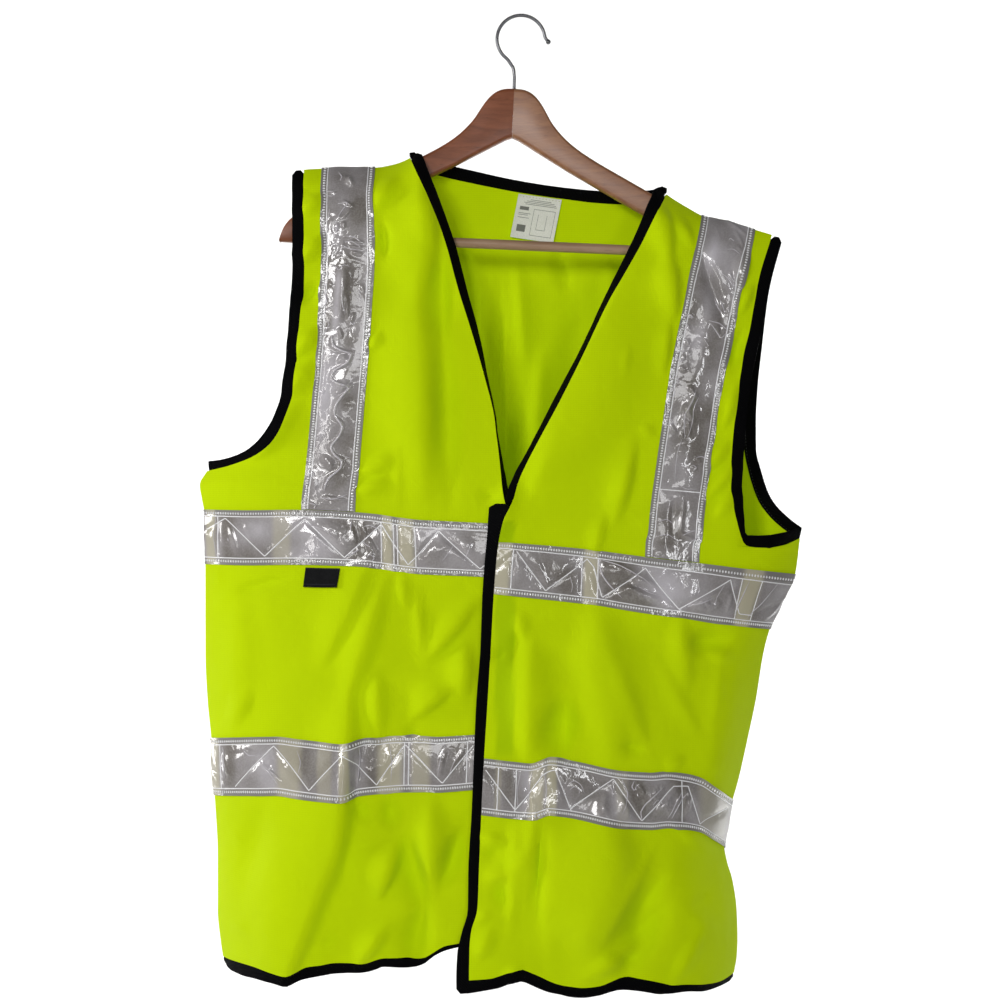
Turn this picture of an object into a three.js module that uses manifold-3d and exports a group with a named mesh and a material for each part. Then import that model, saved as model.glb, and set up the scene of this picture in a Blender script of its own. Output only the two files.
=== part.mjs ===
// A sleeveless high-visibility vest hanging on a contoured wooden hanger.
// Millimetres, +Z up, the fronts face -Y, and the origin is the inside top of the hanger's hook.
// Left and right are as seen from the front.
import * as THREE from "three";
import { mergeVertices } from "three/addons/utils/BufferGeometryUtils.js";
import Module from "manifold-3d";

const wasm = await Module();
wasm.setup();

// ---------------------------------------------------------------- driving dimensions
const SEAM_GAP = 0.4; // between cut pieces that are sewn edge to edge
const CLOTH = 1.2; // wall of one layer of knitted cloth
const TAPE_WIDTH = 50;
const TAPE_WALL = 1.2; // clear film over its backing
const TAPE_LIFT = 0.4; // from the cloth's outer face to the tape's inner face
const HEM_END_GAP = 0.5;
const BINDING_WALL = 1.6; // bias binding folded over the cloth's raw edge
const BINDING_GAP = 0.75; // between the cloth's edge and its binding
const LABEL_WALL = 0.9;
const NECK_BINDING_END = 275.9; // how far down the right front its neck binding ends
const EDGE_STRIP_TOP = 278; // and its edge strip starts
const SIDE_TAB = { left: [-199.5, -523.9], right: [-167.5, -524.8], height: 18, slant: -0.1 };
const NECK_LABEL = { left: [-2, -166.4], right: [39.5, -172.6], height: 41, slant: -0.2 };

const HANGER_CENTRE = new THREE.Vector3(-6.5, 0, -69); // top of the joint between the two arms
const HANGER_SWEEP = 0.14; // how fast the arms come forward: mm for each mm outwards
const HANGER_ROLL = THREE.MathUtils.degToRad(2.5); // the right arm hangs a little low
const HANGER_THICKNESS = 12;
const HANGER_EDGE = 4; // rounding of the wood's long edges
const CROSSBAR_RADIUS = 4.7;
const CROSSBAR_DROP = 152.5; // below the top of the joint
const CROSSBAR_HALF = 203;
const CROSSBAR_Y = -HANGER_SWEEP * 195; // in the middle of the wood where the bar enters it
const HOOK_WIRE = 1.6; // radius
const HOOK_RADIUS = 22.9; // to the wire's centre
const HOOK_CENTRE_Z = -(HOOK_RADIUS - HOOK_WIRE); // so that the inside top is the origin

// ---------------------------------------------------------------- tables
// A table has named columns and one row for each section, and its first column says where the section is.
function table(names, ...rows) {
  const columns = {};
  names.split(" ").forEach((name, i) => {
    columns[name] = rows.map((row) => row[i]);
  });
  return { at: columns[names.split(" ")[0]], columns };
}

// A smooth value between the rows: a cubic whose slope at each row is the weighted harmonic mean of the
// slopes on its two sides, or level where they turn, so that it never overshoots a row.
function value({ at, columns }, name, place) {
  const list = columns[name];
  const last = at.length - 1;
  const rising = at[last] > at[0] ? 1 : -1;
  if ((place - at[0]) * rising <= 0) return list[0];
  if ((place - at[last]) * rising >= 0) return list[last];
  let i = 0;
  while ((place - at[i + 1]) * rising > 0) i += 1;
  const rise = (k) => (list[k + 1] - list[k]) / (at[k + 1] - at[k]);
  const slope = (k) => {
    if (k === 0) return rise(0);
    if (k === last) return rise(last - 1);
    if (rise(k - 1) * rise(k) <= 0) return 0;
    const before = at[k] - at[k - 1];
    const after = at[k + 1] - at[k];
    const first = 2 * after + before;
    const second = after + 2 * before;
    return (first + second) / (first / rise(k - 1) + second / rise(k));
  };
  const step = at[i + 1] - at[i];
  const t = (place - at[i]) / step;
  return (
    list[i] * (1 + 2 * t) * (1 - t) ** 2 +
    slope(i) * step * t * (1 - t) ** 2 +
    list[i + 1] * t * t * (3 - 2 * t) +
    slope(i + 1) * step * t * t * (t - 1)
  );
}

const { lerp, smoothstep } = THREE.MathUtils;

// Top fold of each shoulder, from the armhole to the neck.
const SHOULDER_LEFT = table(
  "x z",
  [-216, -153.5],
  [-205, -151],
  [-187, -149.5],
  [-160, -148.5],
  [-138, -147.5],
  [-120, -144],
  [-105, -137.5],
  [-96, -130],
);
const SHOULDER_RIGHT = table(
  "x z",
  [127.5, -164.5],
  [137, -173],
  [155, -185],
  [173, -195],
  [195, -201],
  [218, -207.5],
  [235, -213],
  [245, -216.5],
);

// Side folds of the body, where the fronts meet the back. Above the underarm they run on as the line
// that the armholes bend towards.
const SIDES = table(
  "z left right",
  [-300, -330, 300],
  [-350, -326, 299],
  [-380, -312, 297],
  [-400, -301, 290],
  [-415, -293.5, 282],
  [-425, -291, 277],
  [-434, -296, 272],
  [-447, -303, 266],
  [-460, -301, 263],
  [-475, -298.3, 262.5],
  [-486, -297.7, 264],
  [-500, -297.7, 262.5],
  [-530, -297.7, 259],
  [-557, -297.7, 246.5],
  [-582, -297.7, 235.5],
  [-605, -297.7, 229.5],
  [-650, -295.8, 222.5],
  [-686, -292.5, 215.2],
  [-726, -290.5, 206.5],
  [-758, -288.2, 198],
  [-792, -286.5, 193],
  [-803, -286.4, 195],
  [-823, -286.4, 200.5],
  [-850, -286.4, 204.5],
  [-880, -283.5, 205.5],
  [-895, -281.2, 204.8],
  [-912, -279, 202],
);

// How far the fronts stand forward, how far the back stands back, and where the side folds lie.
const DEPTHS = table(
  "z front back sideLeft sideRight",
  [-130, 38, 16, -20, -20],
  [-200, 45, 20, -20, -20],
  [-300, 49, 24, -20, -20],
  [-450, 54, 28, -20, -20],
  [-550, 62, 31, -19, -15],
  [-650, 76, 33, -17, -8],
  [-735, 88, 34, -15, -4],
  [-820, 94, 34, -14, -3],
  [-910, 98, 32, -14, -3],
);

// The largest folds: soft ridges (out is positive) and troughs along a line, in depth and half width.
const FOLDS_FRONT = table(
  "x0 z0 x1 z1 width out",
  [-84, -200, -72, -450, 17, 5],
  [-112, -215, -104, -440, 15, -4],
  [-104, -560, -176, -735, 20, -6],
  [-160, -690, -214, -900, 17, -8],
  [-186, -700, -245, -900, 20, 6],
  [-96, -700, -60, -900, 22, 6],
  [-255, -520, -262, -860, 20, -4],
  [24, -600, 8, -905, 16, 8],
  [52, -620, 45, -905, 20, -6],
  [120, -740, 66, -910, 20, 6],
  [150, -640, 96, -905, 18, -7],
  [205, -600, 150, -860, 20, 6],
  [182, -360, 178, -500, 14, -4],
);
const FOLDS_BACK = table(
  "x0 z0 x1 z1 width out",
  [-90, -200, -105, -520, 22, 6],
  [-40, -260, -20, -600, 24, -6],
  [50, -240, 62, -560, 22, 6],
  [110, -330, 90, -620, 24, -6],
  [-180, -560, -215, -890, 22, 8],
  [-120, -600, -110, -890, 24, -7],
  [-20, -640, -45, -890, 22, 8],
  [60, -600, 40, -890, 24, -7],
  [140, -600, 120, -890, 20, 7],
);

// Edges: the cloth's edge and the free edge of the binding that closes it, in the plan x, z. Sections are
// named by how far down they lie, and tuck is how far the free edge turns inwards.
const LEFT = {
  side: "left",
  outward: -1,
  chestTop: 324,
  chestBottom: 374,
  waistTop: 532,
  waistBottom: 582,
  tip: 282,
  hemStart: 637,
  hem: 728,
  corner: 735,
  armhole: table(
    "down x z freeX freeZ",
    [0, -204.5, -151, -215, -152],
    [45, -203, -198, -213.5, -198],
    [93, -202, -247, -213, -247],
    [138, -206, -291, -216, -291],
    [177, -209, -331, -219, -330.5],
    [206, -212.5, -362, -223, -361],
    [229, -220, -386.5, -229, -382.5],
    [247, -231, -406, -239.5, -400],
    [261, -247.5, -419.3, -252, -412],
    [270.5, -264, -426.3, -266.5, -419.5],
    [277, -281, -431.5, -282, -424],
    [282, -296.5, -434, -292.5, -425.5],
  ),
  seam: table(
    "down z",
    [282, -434],
    [297, -447],
    [324, -470],
    [374, -521.5],
    [423, -574],
    [477, -630],
    [532, -686.4],
    [582, -741],
    [637, -800],
    [685, -852],
    [728, -893],
  ),
  opening: table(
    "down x z freeX freeZ tuck",
    [0, -105, -137.5, -96, -130, 0],
    [45, -86, -184, -77, -180.5, 4],
    [93, -69.5, -226, -62, -223, 7],
    [138, -57, -271, -50, -269, 8],
    [177, -47, -303, -41, -301.5, 9],
    [206, -39, -330, -35, -329, 10],
    [229, -33, -352, -31, -351, 10.5],
    [247, -28, -371, -26.5, -370.5, 11],
    [261, -25, -386, -24, -386, 11],
    [270.5, -23.5, -400, -22.5, -400, 11],
    [277, -22, -411, -20.5, -411, 11],
    [282, -20.5, -424, -18, -424, 10.5],
    [297, -18.5, -443, -14.5, -443, 10],
    [324, -12, -484, -3, -484, 6],
    [374, -7, -533.5, 3.5, -533.5, 2],
    [423, -9, -572, 2, -572, 1],
    [477, -13, -625, -2, -625, 0],
    [532, -18, -674, -7, -674, 0],
    [582, -20, -722.5, -9, -722.5, 0],
    [637, -24, -780, -13, -780, 0],
    [685, -29, -822, -18, -822, 0],
    [728, -36, -857, -25, -854, 0],
    [735, -36.5, -861.5, -25.5, -858.5, 0],
  ),
  sag: table("down z", [0, 0], [247, 0], [282, 3], [324, 0], [728, 0]),
  rise: table(
    "x chest waist",
    [-298, 0, 0],
    [-260, 1, 3.5],
    [-240, 2, 4.2],
    [-225, 3, 4.5],
    [-204, 4, 1.8],
    [-180, 4.5, -1],
    [-163, 4.5, -2.5],
    [-150, 4.2, 0.5],
    [-135, 3.5, 1.3],
    [-115, 1.5, 1.6],
    [-91, 0, 0.5],
    [-75, 0, -1],
    [-18, 0, 0],
  ),
  tape: table(
    "down x",
    [0, -163],
    [45, -162.5],
    [93, -161.5],
    [138, -164],
    [177, -166],
    [206, -168.5],
    [247, -172],
    [282, -175],
    [324, -179],
    [728, -179],
  ),
  hemLine: table(
    "x z freeZ",
    [-281.3, -893, -899],
    [-273.6, -892.4, -903],
    [-258.5, -891, -903.2],
    [-245.7, -890.6, -902],
    [-230.6, -892, -902],
    [-216, -893.6, -903.8],
    [-206.7, -890.2, -900],
    [-197, -886, -896.5],
    [-183, -883.6, -893],
    [-169.5, -880.8, -890.2],
    [-142, -880, -888.3],
    [-133, -877.5, -886],
    [-125.8, -875.8, -883.2],
    [-106, -875.5, -883.7],
    [-96.8, -877, -882.8],
    [-87.7, -875.2, -879.4],
    [-81.3, -871.3, -874.2],
    [-69.6, -864.5, -868.3],
    [-57.9, -862.3, -865.2],
    [-36, -857, -861],
  ),
};
const RIGHT = {
  side: "right",
  outward: 1,
  chestTop: 316,
  chestBottom: 366,
  waistTop: 513,
  waistBottom: 563,
  tip: 305,
  hemStart: 610,
  hem: 696,
  corner: 707,
  armhole: table(
    "down x z freeX freeZ",
    [0, 235, -213.5, 244.5, -216],
    [40, 221.5, -254, 233, -255.5],
    [91, 212.5, -302, 223.5, -303],
    [141, 202.5, -351, 213, -351.5],
    [184, 197.5, -392, 208.5, -391.5],
    [218, 195, -425, 206, -425],
    [241, 194.5, -447.5, 205, -447],
    [260, 196.5, -466, 206, -465.5],
    [274, 200.5, -483.5, 207.5, -482],
    [281, 204, -496.5, 208, -491.5],
    [286, 208, -503.5, 210, -494.5],
    [292, 217.5, -506, 219.5, -495],
    [298, 236, -505.5, 235, -494.5],
    [302, 251.5, -502.5, 250.5, -491],
    [305, 263, -497.5, 264.5, -487.5],
  ),
  seam: table(
    "down z",
    [305, -497.5],
    [316, -531],
    [366, -583],
    [415, -635],
    [464, -690],
    [513, -746],
    [563, -797],
    [610, -842],
    [655, -879],
    [696, -911],
  ),
  opening: table(
    "down x z freeX freeZ tuck",
    [0, 137, -173, 127.5, -164.5, 0],
    [40, 112, -222, 104.5, -218, 6],
    [91, 83, -274, 78.2, -271.4, 9],
    [141, 58, -325, 54, -323, 9.5],
    [184, 36, -369, 31, -366.5, 9],
    [218, 17, -405, 12.5, -402.8, 9],
    [241, 4, -430, -0.5, -427.5, 7],
    [260, -4.5, -448, -11, -448, 2],
    [276, -9, -463.6, -17.5, -463.6, 0],
    [278, -9.6, -465, -29.4, -464.6, 0],
    [292, -16.5, -479, -30.4, -479, 0],
    [305, -19.6, -491, -31.2, -491, 0],
    [316, -21.3, -500, -32, -500, 0],
    [366, -25.7, -548, -35.6, -548, 0],
    [415, -28.5, -598, -37.4, -598, 0],
    [464, -31.5, -648, -41.2, -648, 0],
    [513, -34.5, -696, -43.2, -696, 0],
    [563, -37, -746, -45.2, -746, 0],
    [610, -39, -795, -48, -795, 0],
    [640, -40.5, -831, -48.5, -831, 0],
    [655, -46, -850, -54, -852, 0],
    [670, -47.5, -868, -58, -870, 0],
    [696, -47.9, -893.5, -58.9, -894, 0],
    [707, -47.7, -905, -58.7, -906, 0],
  ),
  sag: table(
    "down z",
    [0, 0],
    [292, 0],
    [298, 3],
    [302, 9],
    [305, 19],
    [316, 0],
    [696, 0],
  ),
  rise: table(
    "x chest waist",
    [-35, 0, 0],
    [8, 1, 5],
    [26, 1.5, 13],
    [64, 2, 14.4],
    [85, 1.5, 14.4],
    [116, 0.8, 17.5],
    [136, 0.6, 22],
    [152, 0.6, 22.5],
    [163, 0.6, 21.5],
    [180, 0.4, 13],
    [200, 0, 0],
  ),
  tape: table(
    "down x",
    [0, 194.5],
    [40, 184],
    [91, 173.5],
    [141, 163],
    [184, 156.5],
    [241, 148],
    [286, 142],
    [316, 139],
    [696, 139],
  ),
  hemLine: table(
    "x z freeZ",
    [-47.9, -893.5, -905],
    [-29, -892.2, -901.8],
    [-20, -889.8, -900.3],
    [-11, -886.6, -896.5],
    [-1.1, -884.4, -895.2],
    [7, -887.3, -898],
    [16, -891.3, -902.2],
    [25, -895.8, -905.6],
    [34.2, -899.2, -907.6],
    [43.2, -900.8, -910],
    [55, -902, -911],
    [70.4, -900.8, -909.2],
    [79.5, -897.7, -906.6],
    [88.6, -895, -905.1],
    [95, -894.5, -905.4],
    [107, -896.2, -907],
    [116.4, -898.2, -909.1],
    [125.7, -900.8, -911.3],
    [135.2, -903.6, -911.6],
    [149.7, -905.3, -912],
    [171, -909.5, -915.8],
    [188.9, -912, -916.5],
    [202, -911, -917],
  ),
};

// The back: its right armhole is cut less deep than the front's, and its neck is a shallow scoop.
const BACK = {
  chestTop: 316,
  chestBottom: 366,
  waistTop: 516,
  waistBottom: 566,
  neckEase: 75,
  hemStart: 616,
  hem: 704,
  armholeRight: table(
    "down x z freeX freeZ",
    [0, 235, -213.5, 244.5, -216],
    [35, 228.5, -245, 239, -247],
    [60, 225, -269, 235.5, -270],
    [110, 219.5, -316, 230.5, -317],
    [150, 216.5, -352, 227, -352.5],
    [190, 214.5, -388, 225.5, -388],
    [215, 215.5, -412, 225.5, -412],
    [240, 219.5, -434.5, 230, -434],
    [258, 227.5, -460.5, 237, -457],
    [270, 237, -475, 245, -469.5],
    [280, 250.5, -488, 254, -479],
    [288, 263, -497.5, 264.5, -487.5],
  ),
  armholeLeft: table(
    "down x z freeX freeZ",
    [0, -204.5, -151, -215, -152],
    [35, -203, -188, -213.5, -188],
    [60, -202, -216, -212.5, -216],
    [110, -201, -268, -211.5, -268],
    [150, -203, -305, -213.5, -304],
    [190, -207, -341, -217.5, -339.5],
    [215, -211, -364, -221.5, -361],
    [240, -220, -387, -228.5, -381.5],
    [258, -234, -409, -241.5, -401.5],
    [270, -250, -424, -255, -414.5],
    [280, -273, -432.5, -275, -423.5],
    [288, -296.5, -434, -292.5, -425.5],
  ),
  sideLeft: table(
    "down z",
    [288, -434],
    [302, -449],
    [316, -472],
    [366, -522],
    [416, -576],
    [466, -631],
    [516, -687],
    [566, -738],
    [616, -790],
    [704, -893],
  ),
  sideRight: table(
    "down z",
    [288, -497.5],
    [302, -513],
    [316, -531],
    [366, -582],
    [416, -636],
    [466, -691],
    [516, -746],
    [566, -795],
    [616, -842],
    [704, -911],
  ),
  tapeLeft: table("down x", [0, -163], [150, -164], [316, -172], [704, -172]),
  tapeRight: table("down x", [0, 194.5], [150, 170], [316, 150], [704, 146]),
  neckLeft: table("down x", [0, -105], [316, -100], [704, -95]),
  neckRight: table("down x", [0, 137], [316, 105], [704, 90]),
  neckLine: table(
    "x z freeX freeZ",
    [-105, -137.5, -96, -130],
    [-92, -146, -85, -137],
    [-70, -152, -66, -141.8],
    [-40, -158, -38, -148],
    [-5, -164.5, -4, -155],
    [40, -171.5, 40, -162.5],
    [78, -176.5, 76, -166.8],
    [105, -178, 101, -168],
    [124, -177, 117, -168],
    [137, -173, 127.5, -164.5],
  ),
  hemLine: table(
    "x z freeZ",
    [-281.3, -893, -899],
    [-200, -887, -897.5],
    [-60, -880, -890],
    [90, -893, -904],
    [202, -911, -917],
  ),
};

// ---------------------------------------------------------------- the vest's form
// Height of the shoulder fold above a point; across the neck it is a straight line between the neck points.
function shoulderZ(x) {
  const left = SHOULDER_LEFT.at.at(-1);
  const right = SHOULDER_RIGHT.at[0];
  if (x <= left) return value(SHOULDER_LEFT, "z", x);
  if (x >= right) return value(SHOULDER_RIGHT, "z", x);
  const across = (x - left) / (right - left);
  return lerp(value(SHOULDER_LEFT, "z", left), value(SHOULDER_RIGHT, "z", right), across);
}

// The cloth comes forward along the shoulders as the hanger's arms do.
function ridgeY(x) {
  const out = Math.hypot(x - HANGER_CENTRE.x, 20) - 20;
  return -HANGER_SWEEP * out;
}

// 0 at a side fold and 1 on the flat of the body: it rises as an exponential over ROUNDING mm.
const ROUNDING = 42;
function inFromSides(x, z) {
  const left = Math.max(0, x - value(SIDES, "left", z));
  const right = Math.max(0, value(SIDES, "right", z) - x);
  return (1 - Math.exp(-left / ROUNDING)) * (1 - Math.exp(-right / ROUNDING));
}

// Height of all the folds at a point: each is a bell curve across its line, fading over its two ends.
function folds(list, x, z) {
  const { x0, z0, x1, z1, width, out } = list.columns;
  return x0.reduce((sum, _, i) => {
    const dx = x1[i] - x0[i];
    const dz = z1[i] - z0[i];
    const long = Math.hypot(dx, dz);
    const along = ((x - x0[i]) * dx + (z - z0[i]) * dz) / long;
    const across = ((x - x0[i]) * dz - (z - z0[i]) * dx) / long;
    const fade = 0.22 * long;
    const window = smoothstep(along, 0, fade) * (1 - smoothstep(along, long - fade, long));
    return sum + out[i] * window * Math.exp(-((across / width[i]) ** 2));
  }, 0);
}

// The right front lies over the left one from the foot of the neck opening down.
const OVERLAP_LIFT = 6.5;
function overlap(x, z) {
  const edge = value(RIGHT.opening, "x", clamp01((-180 - z) / 700) * RIGHT.hem);
  const near = 1 - smoothstep(x, edge + 10, edge + 110);
  return OVERLAP_LIFT * near * smoothstep(-z, 330, 440);
}

function clamp01(t) {
  return Math.min(1, Math.max(0, t));
}

// Depth of the cloth's inner face. From the shoulder fold it eases out to the body over SHOULDER_EASE mm.
const SHOULDER_EASE = 16;
const HALF_GAP = SEAM_GAP / 2;
function clothY(facing, x, z) {
  const drop = Math.max(0, shoulderZ(x) - z);
  const eased = 1 - Math.exp(-drop / SHOULDER_EASE);
  const inside = inFromSides(x, z);
  const sideName = x < HANGER_CENTRE.x ? "sideLeft" : "sideRight";
  const side = value(DEPTHS, sideName, z);
  const front = facing !== "back";
  const calm = inside * smoothstep(drop, 20, 90);
  let body;
  if (front) {
    body = lerp(side, -value(DEPTHS, "front", z), inside) - calm * folds(FOLDS_FRONT, x, z);
    if (facing === "right") body -= overlap(x, z);
  } else {
    const sweep = 0.5 * ridgeY(x) * Math.exp(-drop / 260);
    body = lerp(side, value(DEPTHS, "back", z) + sweep, inside) + calm * folds(FOLDS_BACK, x, z);
  }
  const gap = front ? -HALF_GAP : HALF_GAP;
  return lerp(ridgeY(x), body, eased) + gap;
}

// A point of the cloth and its outward normal, from the slopes of the depth in x and z.
function clothPoint(facing, x, z) {
  const h = 0.5;
  const y = clothY(facing, x, z);
  const slopeX = (clothY(facing, x + h, z) - clothY(facing, x - h, z)) / (2 * h);
  const slopeZ = (clothY(facing, x, z + h) - clothY(facing, x, z - h)) / (2 * h);
  const out = facing === "back" ? 1 : -1;
  return {
    point: new THREE.Vector3(x, y, z),
    normal: new THREE.Vector3(-slopeX, 1, -slopeZ).multiplyScalar(out).normalize(),
  };
}

// ---------------------------------------------------------------- walls
// A closed wall over a grid of points: its inner face is moved out by low and its outer face by high.
function wallGeometry(grid, low, high) {
  const rows = grid.length;
  const columns = grid[0].length;
  const positions = [];
  [low, high].forEach((lift) => {
    grid.flat().forEach(({ point, normal }) => {
      const p = point.clone().addScaledVector(normal, lift);
      positions.push(p.x, p.y, p.z);
    });
  });
  const id = (face, r, c) => face * rows * columns + r * columns + c;
  const triangles = [];
  const quad = (a, b, c, d) => triangles.push(a, b, c, a, c, d);
  for (let r = 0; r < rows - 1; r += 1) {
    for (let c = 0; c < columns - 1; c += 1) {
      quad(id(0, r, c), id(0, r + 1, c), id(0, r + 1, c + 1), id(0, r, c + 1));
      quad(id(1, r, c), id(1, r, c + 1), id(1, r + 1, c + 1), id(1, r + 1, c));
    }
  }
  for (let c = 0; c < columns - 1; c += 1) {
    quad(id(0, 0, c), id(0, 0, c + 1), id(1, 0, c + 1), id(1, 0, c));
    const end = rows - 1;
    quad(id(0, end, c + 1), id(0, end, c), id(1, end, c), id(1, end, c + 1));
  }
  for (let r = 0; r < rows - 1; r += 1) {
    quad(id(0, r + 1, 0), id(0, r, 0), id(1, r, 0), id(1, r + 1, 0));
    const end = columns - 1;
    quad(id(0, r, end), id(0, r + 1, end), id(1, r + 1, end), id(1, r, end));
  }
  const geometry = new THREE.BufferGeometry();
  geometry.setAttribute("position", new THREE.Float32BufferAttribute(positions, 3));
  geometry.setIndex(triangles);
  if (signedVolume(geometry) < 0) geometry.index.array.reverse();
  geometry.computeVertexNormals();
  return geometry;
}

function signedVolume(geometry) {
  const p = geometry.getAttribute("position");
  const index = geometry.index;
  const corner = (i) => new THREE.Vector3().fromBufferAttribute(p, index.getX(i));
  let sum = 0;
  for (let i = 0; i < index.count; i += 3) {
    sum += corner(i).dot(corner(i + 1).cross(corner(i + 2)));
  }
  return sum / 6;
}

// Places between the stations of a list, in even steps that are no longer than the given one.
function steps(stations, longest) {
  const places = [stations[0]];
  for (let i = 1; i < stations.length; i += 1) {
    const count = Math.max(1, Math.ceil((stations[i] - stations[i - 1]) / longest));
    for (let k = 1; k <= count; k += 1) {
      places.push(lerp(stations[i - 1], stations[i], k / count));
    }
  }
  return places;
}

// Sections close together below the shoulder fold, where the cloth bends most.
const SHOULDER_STEPS = [0, 5, 11, 18, 27, 40, 58];

// Whole numbers are stations across a panel, and each range between them has its count of even parts.
function parts(counts) {
  const places = [0];
  counts.forEach((count, station) => {
    for (let k = 1; k <= count; k += 1) places.push(station + k / count);
  });
  return places;
}

// ---------------------------------------------------------------- fronts
const ARMHOLE_TO_TAPE = 2;
const TAPE_COLUMNS = 2;
const TAPE_TO_OPENING = 7;
const FRONT_COLUMNS = parts([ARMHOLE_TO_TAPE, TAPE_COLUMNS, TAPE_TO_OPENING]);

// A section of a front in plan: across runs 0 at the armhole or side, 1 and 2 at the edges of the shoulder
// tape, and 3 at the opening. It is straight, but for a sag, deepest under the armhole, and the rise of its
// folds where the chest and waist bands lie.
const SAG_START = 0.06; // share of the section over which the sag sets in
function frontSection(front, across, down) {
  const onArmhole = down <= front.tip;
  const outerZ = onArmhole ? value(front.armhole, "z", down) : value(front.seam, "z", down);
  const outerX = onArmhole ? value(front.armhole, "x", down) : value(SIDES, front.side, outerZ);
  const innerX = value(front.opening, "x", down);
  const innerZ = value(front.opening, "z", down);
  const tape = value(front.tape, "x", down);
  const stations = [
    outerX,
    tape + (front.outward * TAPE_WIDTH) / 2,
    tape - (front.outward * TAPE_WIDTH) / 2,
    innerX,
  ];
  const i = Math.min(2, Math.floor(across));
  const x = lerp(stations[i], stations[i + 1], across - i);
  const inward = (x - outerX) / (innerX - outerX);
  const hang = (1 - Math.exp(-inward / SAG_START)) * (1 - inward) ** 1.5;
  const sag = hang * value(front.sag, "z", down);
  const atChest = smoothstep(down, front.tip, front.chestTop);
  const atWaist = smoothstep(down, front.chestBottom, front.waistTop);
  const rise = lerp(value(front.rise, "chest", x), value(front.rise, "waist", x), atWaist);
  return [x, lerp(outerZ, innerZ, inward) - sag + atChest * rise];
}

// The plan of a front: its sections, eased into the shoulder's fold at the top and the hem at the foot.
const TOP_EASE = 60;
function frontPlan(front, across, down) {
  const [x, z] = frontSection(front, across, down);
  const [topX, topZ] = frontSection(front, across, 0);
  const [hemX, hemZ] = frontSection(front, across, front.hem);
  const top = (1 - smoothstep(down, 0, TOP_EASE)) * (shoulderZ(topX) - topZ);
  const foot = smoothstep(down, front.hemStart, front.hem);
  return [x, z + top + foot * (value(front.hemLine, "z", hemX) - hemZ)];
}

function frontRows(front) {
  const { tip, chestTop, chestBottom, waistTop, waistBottom, hemStart, hem } = front;
  const upper = steps([...SHOULDER_STEPS, tip - 40], 30);
  const underarm = steps([tip - 40, tip, chestTop], 8.5);
  const lower = steps([chestTop, chestBottom, waistTop, waistBottom, hemStart, hem], 26);
  return [...upper, ...underarm.slice(1), ...lower.slice(1)];
}

function frontGrid(front, rows, columns) {
  return rows.map((down) =>
    columns.map((across) => clothPoint(front.side, ...frontPlan(front, across, down))),
  );
}

function between(rows, from, to) {
  const inside = rows.filter((row) => row > from + 0.5 && row < to - 0.5);
  return [from, ...inside, to];
}

const TAPE_LOW = CLOTH + TAPE_LIFT;
const TAPE_HIGH = TAPE_LOW + TAPE_WALL;

function frontPieces(front) {
  const rows = frontRows(front);
  const name = front.side;
  const level = (from, to, columns) => frontGrid(front, between(rows, from, to), columns);
  const shoulder = level(0.5, front.chestTop - SEAM_GAP, parts([1, TAPE_COLUMNS]).slice(1));
  return [
    [`front_${name}`, wallGeometry(frontGrid(front, rows, FRONT_COLUMNS), 0, CLOTH), "cloth"],
    [
      `chest_tape_front_${name}`,
      wallGeometry(level(front.chestTop, front.chestBottom, FRONT_COLUMNS), TAPE_LOW, TAPE_HIGH),
      "tape",
    ],
    [
      `waist_tape_front_${name}`,
      wallGeometry(level(front.waistTop, front.waistBottom, FRONT_COLUMNS), TAPE_LOW, TAPE_HIGH),
      "tape",
    ],
    [`shoulder_tape_front_${name}`, wallGeometry(shoulder, TAPE_LOW, TAPE_HIGH), "tape"],
  ];
}

// ---------------------------------------------------------------- back
const NECK_FROM = 3;
const NECK_TO = 4;
const ALONG_NECK = [0.05, 0.11, 0.2, 0.33, 0.5, 0.67, 0.8, 0.9]; // closer where it leaves the shoulders
const BACK_COLUMNS = [
  ...parts([1, 2, 2]),
  ...ALONG_NECK.map((part) => NECK_FROM + part),
  ...parts([2, 2, 1]).map((across) => NECK_TO + across),
];

// Height of the back's top edge: the two shoulders and the scoop of the neck between them.
function backTopZ(x) {
  const neck = BACK.neckLine.at;
  return x > neck[0] && x < neck.at(-1) ? value(BACK.neckLine, "z", x) : shoulderZ(x);
}

// A section of the back in plan: across runs from 0 at the left edge to 7 at the right, with whole numbers
// at the edges of the shoulder tapes and of the neck.
function backSection(across, down) {
  const tip = BACK.armholeLeft.at.at(-1);
  const onArmhole = down <= tip;
  const leftZ = value(onArmhole ? BACK.armholeLeft : BACK.sideLeft, "z", down);
  const rightZ = value(onArmhole ? BACK.armholeRight : BACK.sideRight, "z", down);
  const leftX = onArmhole ? value(BACK.armholeLeft, "x", down) : value(SIDES, "left", leftZ);
  const rightX = onArmhole ? value(BACK.armholeRight, "x", down) : value(SIDES, "right", rightZ);
  const tapeLeft = value(BACK.tapeLeft, "x", down);
  const tapeRight = value(BACK.tapeRight, "x", down);
  const stations = [
    leftX,
    tapeLeft - TAPE_WIDTH / 2,
    tapeLeft + TAPE_WIDTH / 2,
    value(BACK.neckLeft, "x", down),
    value(BACK.neckRight, "x", down),
    tapeRight - TAPE_WIDTH / 2,
    tapeRight + TAPE_WIDTH / 2,
    rightX,
  ];
  const i = Math.min(6, Math.floor(across));
  const x = lerp(stations[i], stations[i + 1], across - i);
  return [x, lerp(leftZ, rightZ, (x - leftX) / (rightX - leftX))];
}

function backPlan(across, down) {
  const [x, z] = backSection(across, down);
  const [topX, topZ] = backSection(across, 0);
  const [hemX, hemZ] = backSection(across, BACK.hem);
  const top = (1 - smoothstep(down, 0, BACK.neckEase)) * (backTopZ(topX) - topZ);
  const foot = smoothstep(down, BACK.hemStart, BACK.hem);
  return [x, z + top + foot * (value(BACK.hemLine, "z", hemX) - hemZ)];
}

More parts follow.
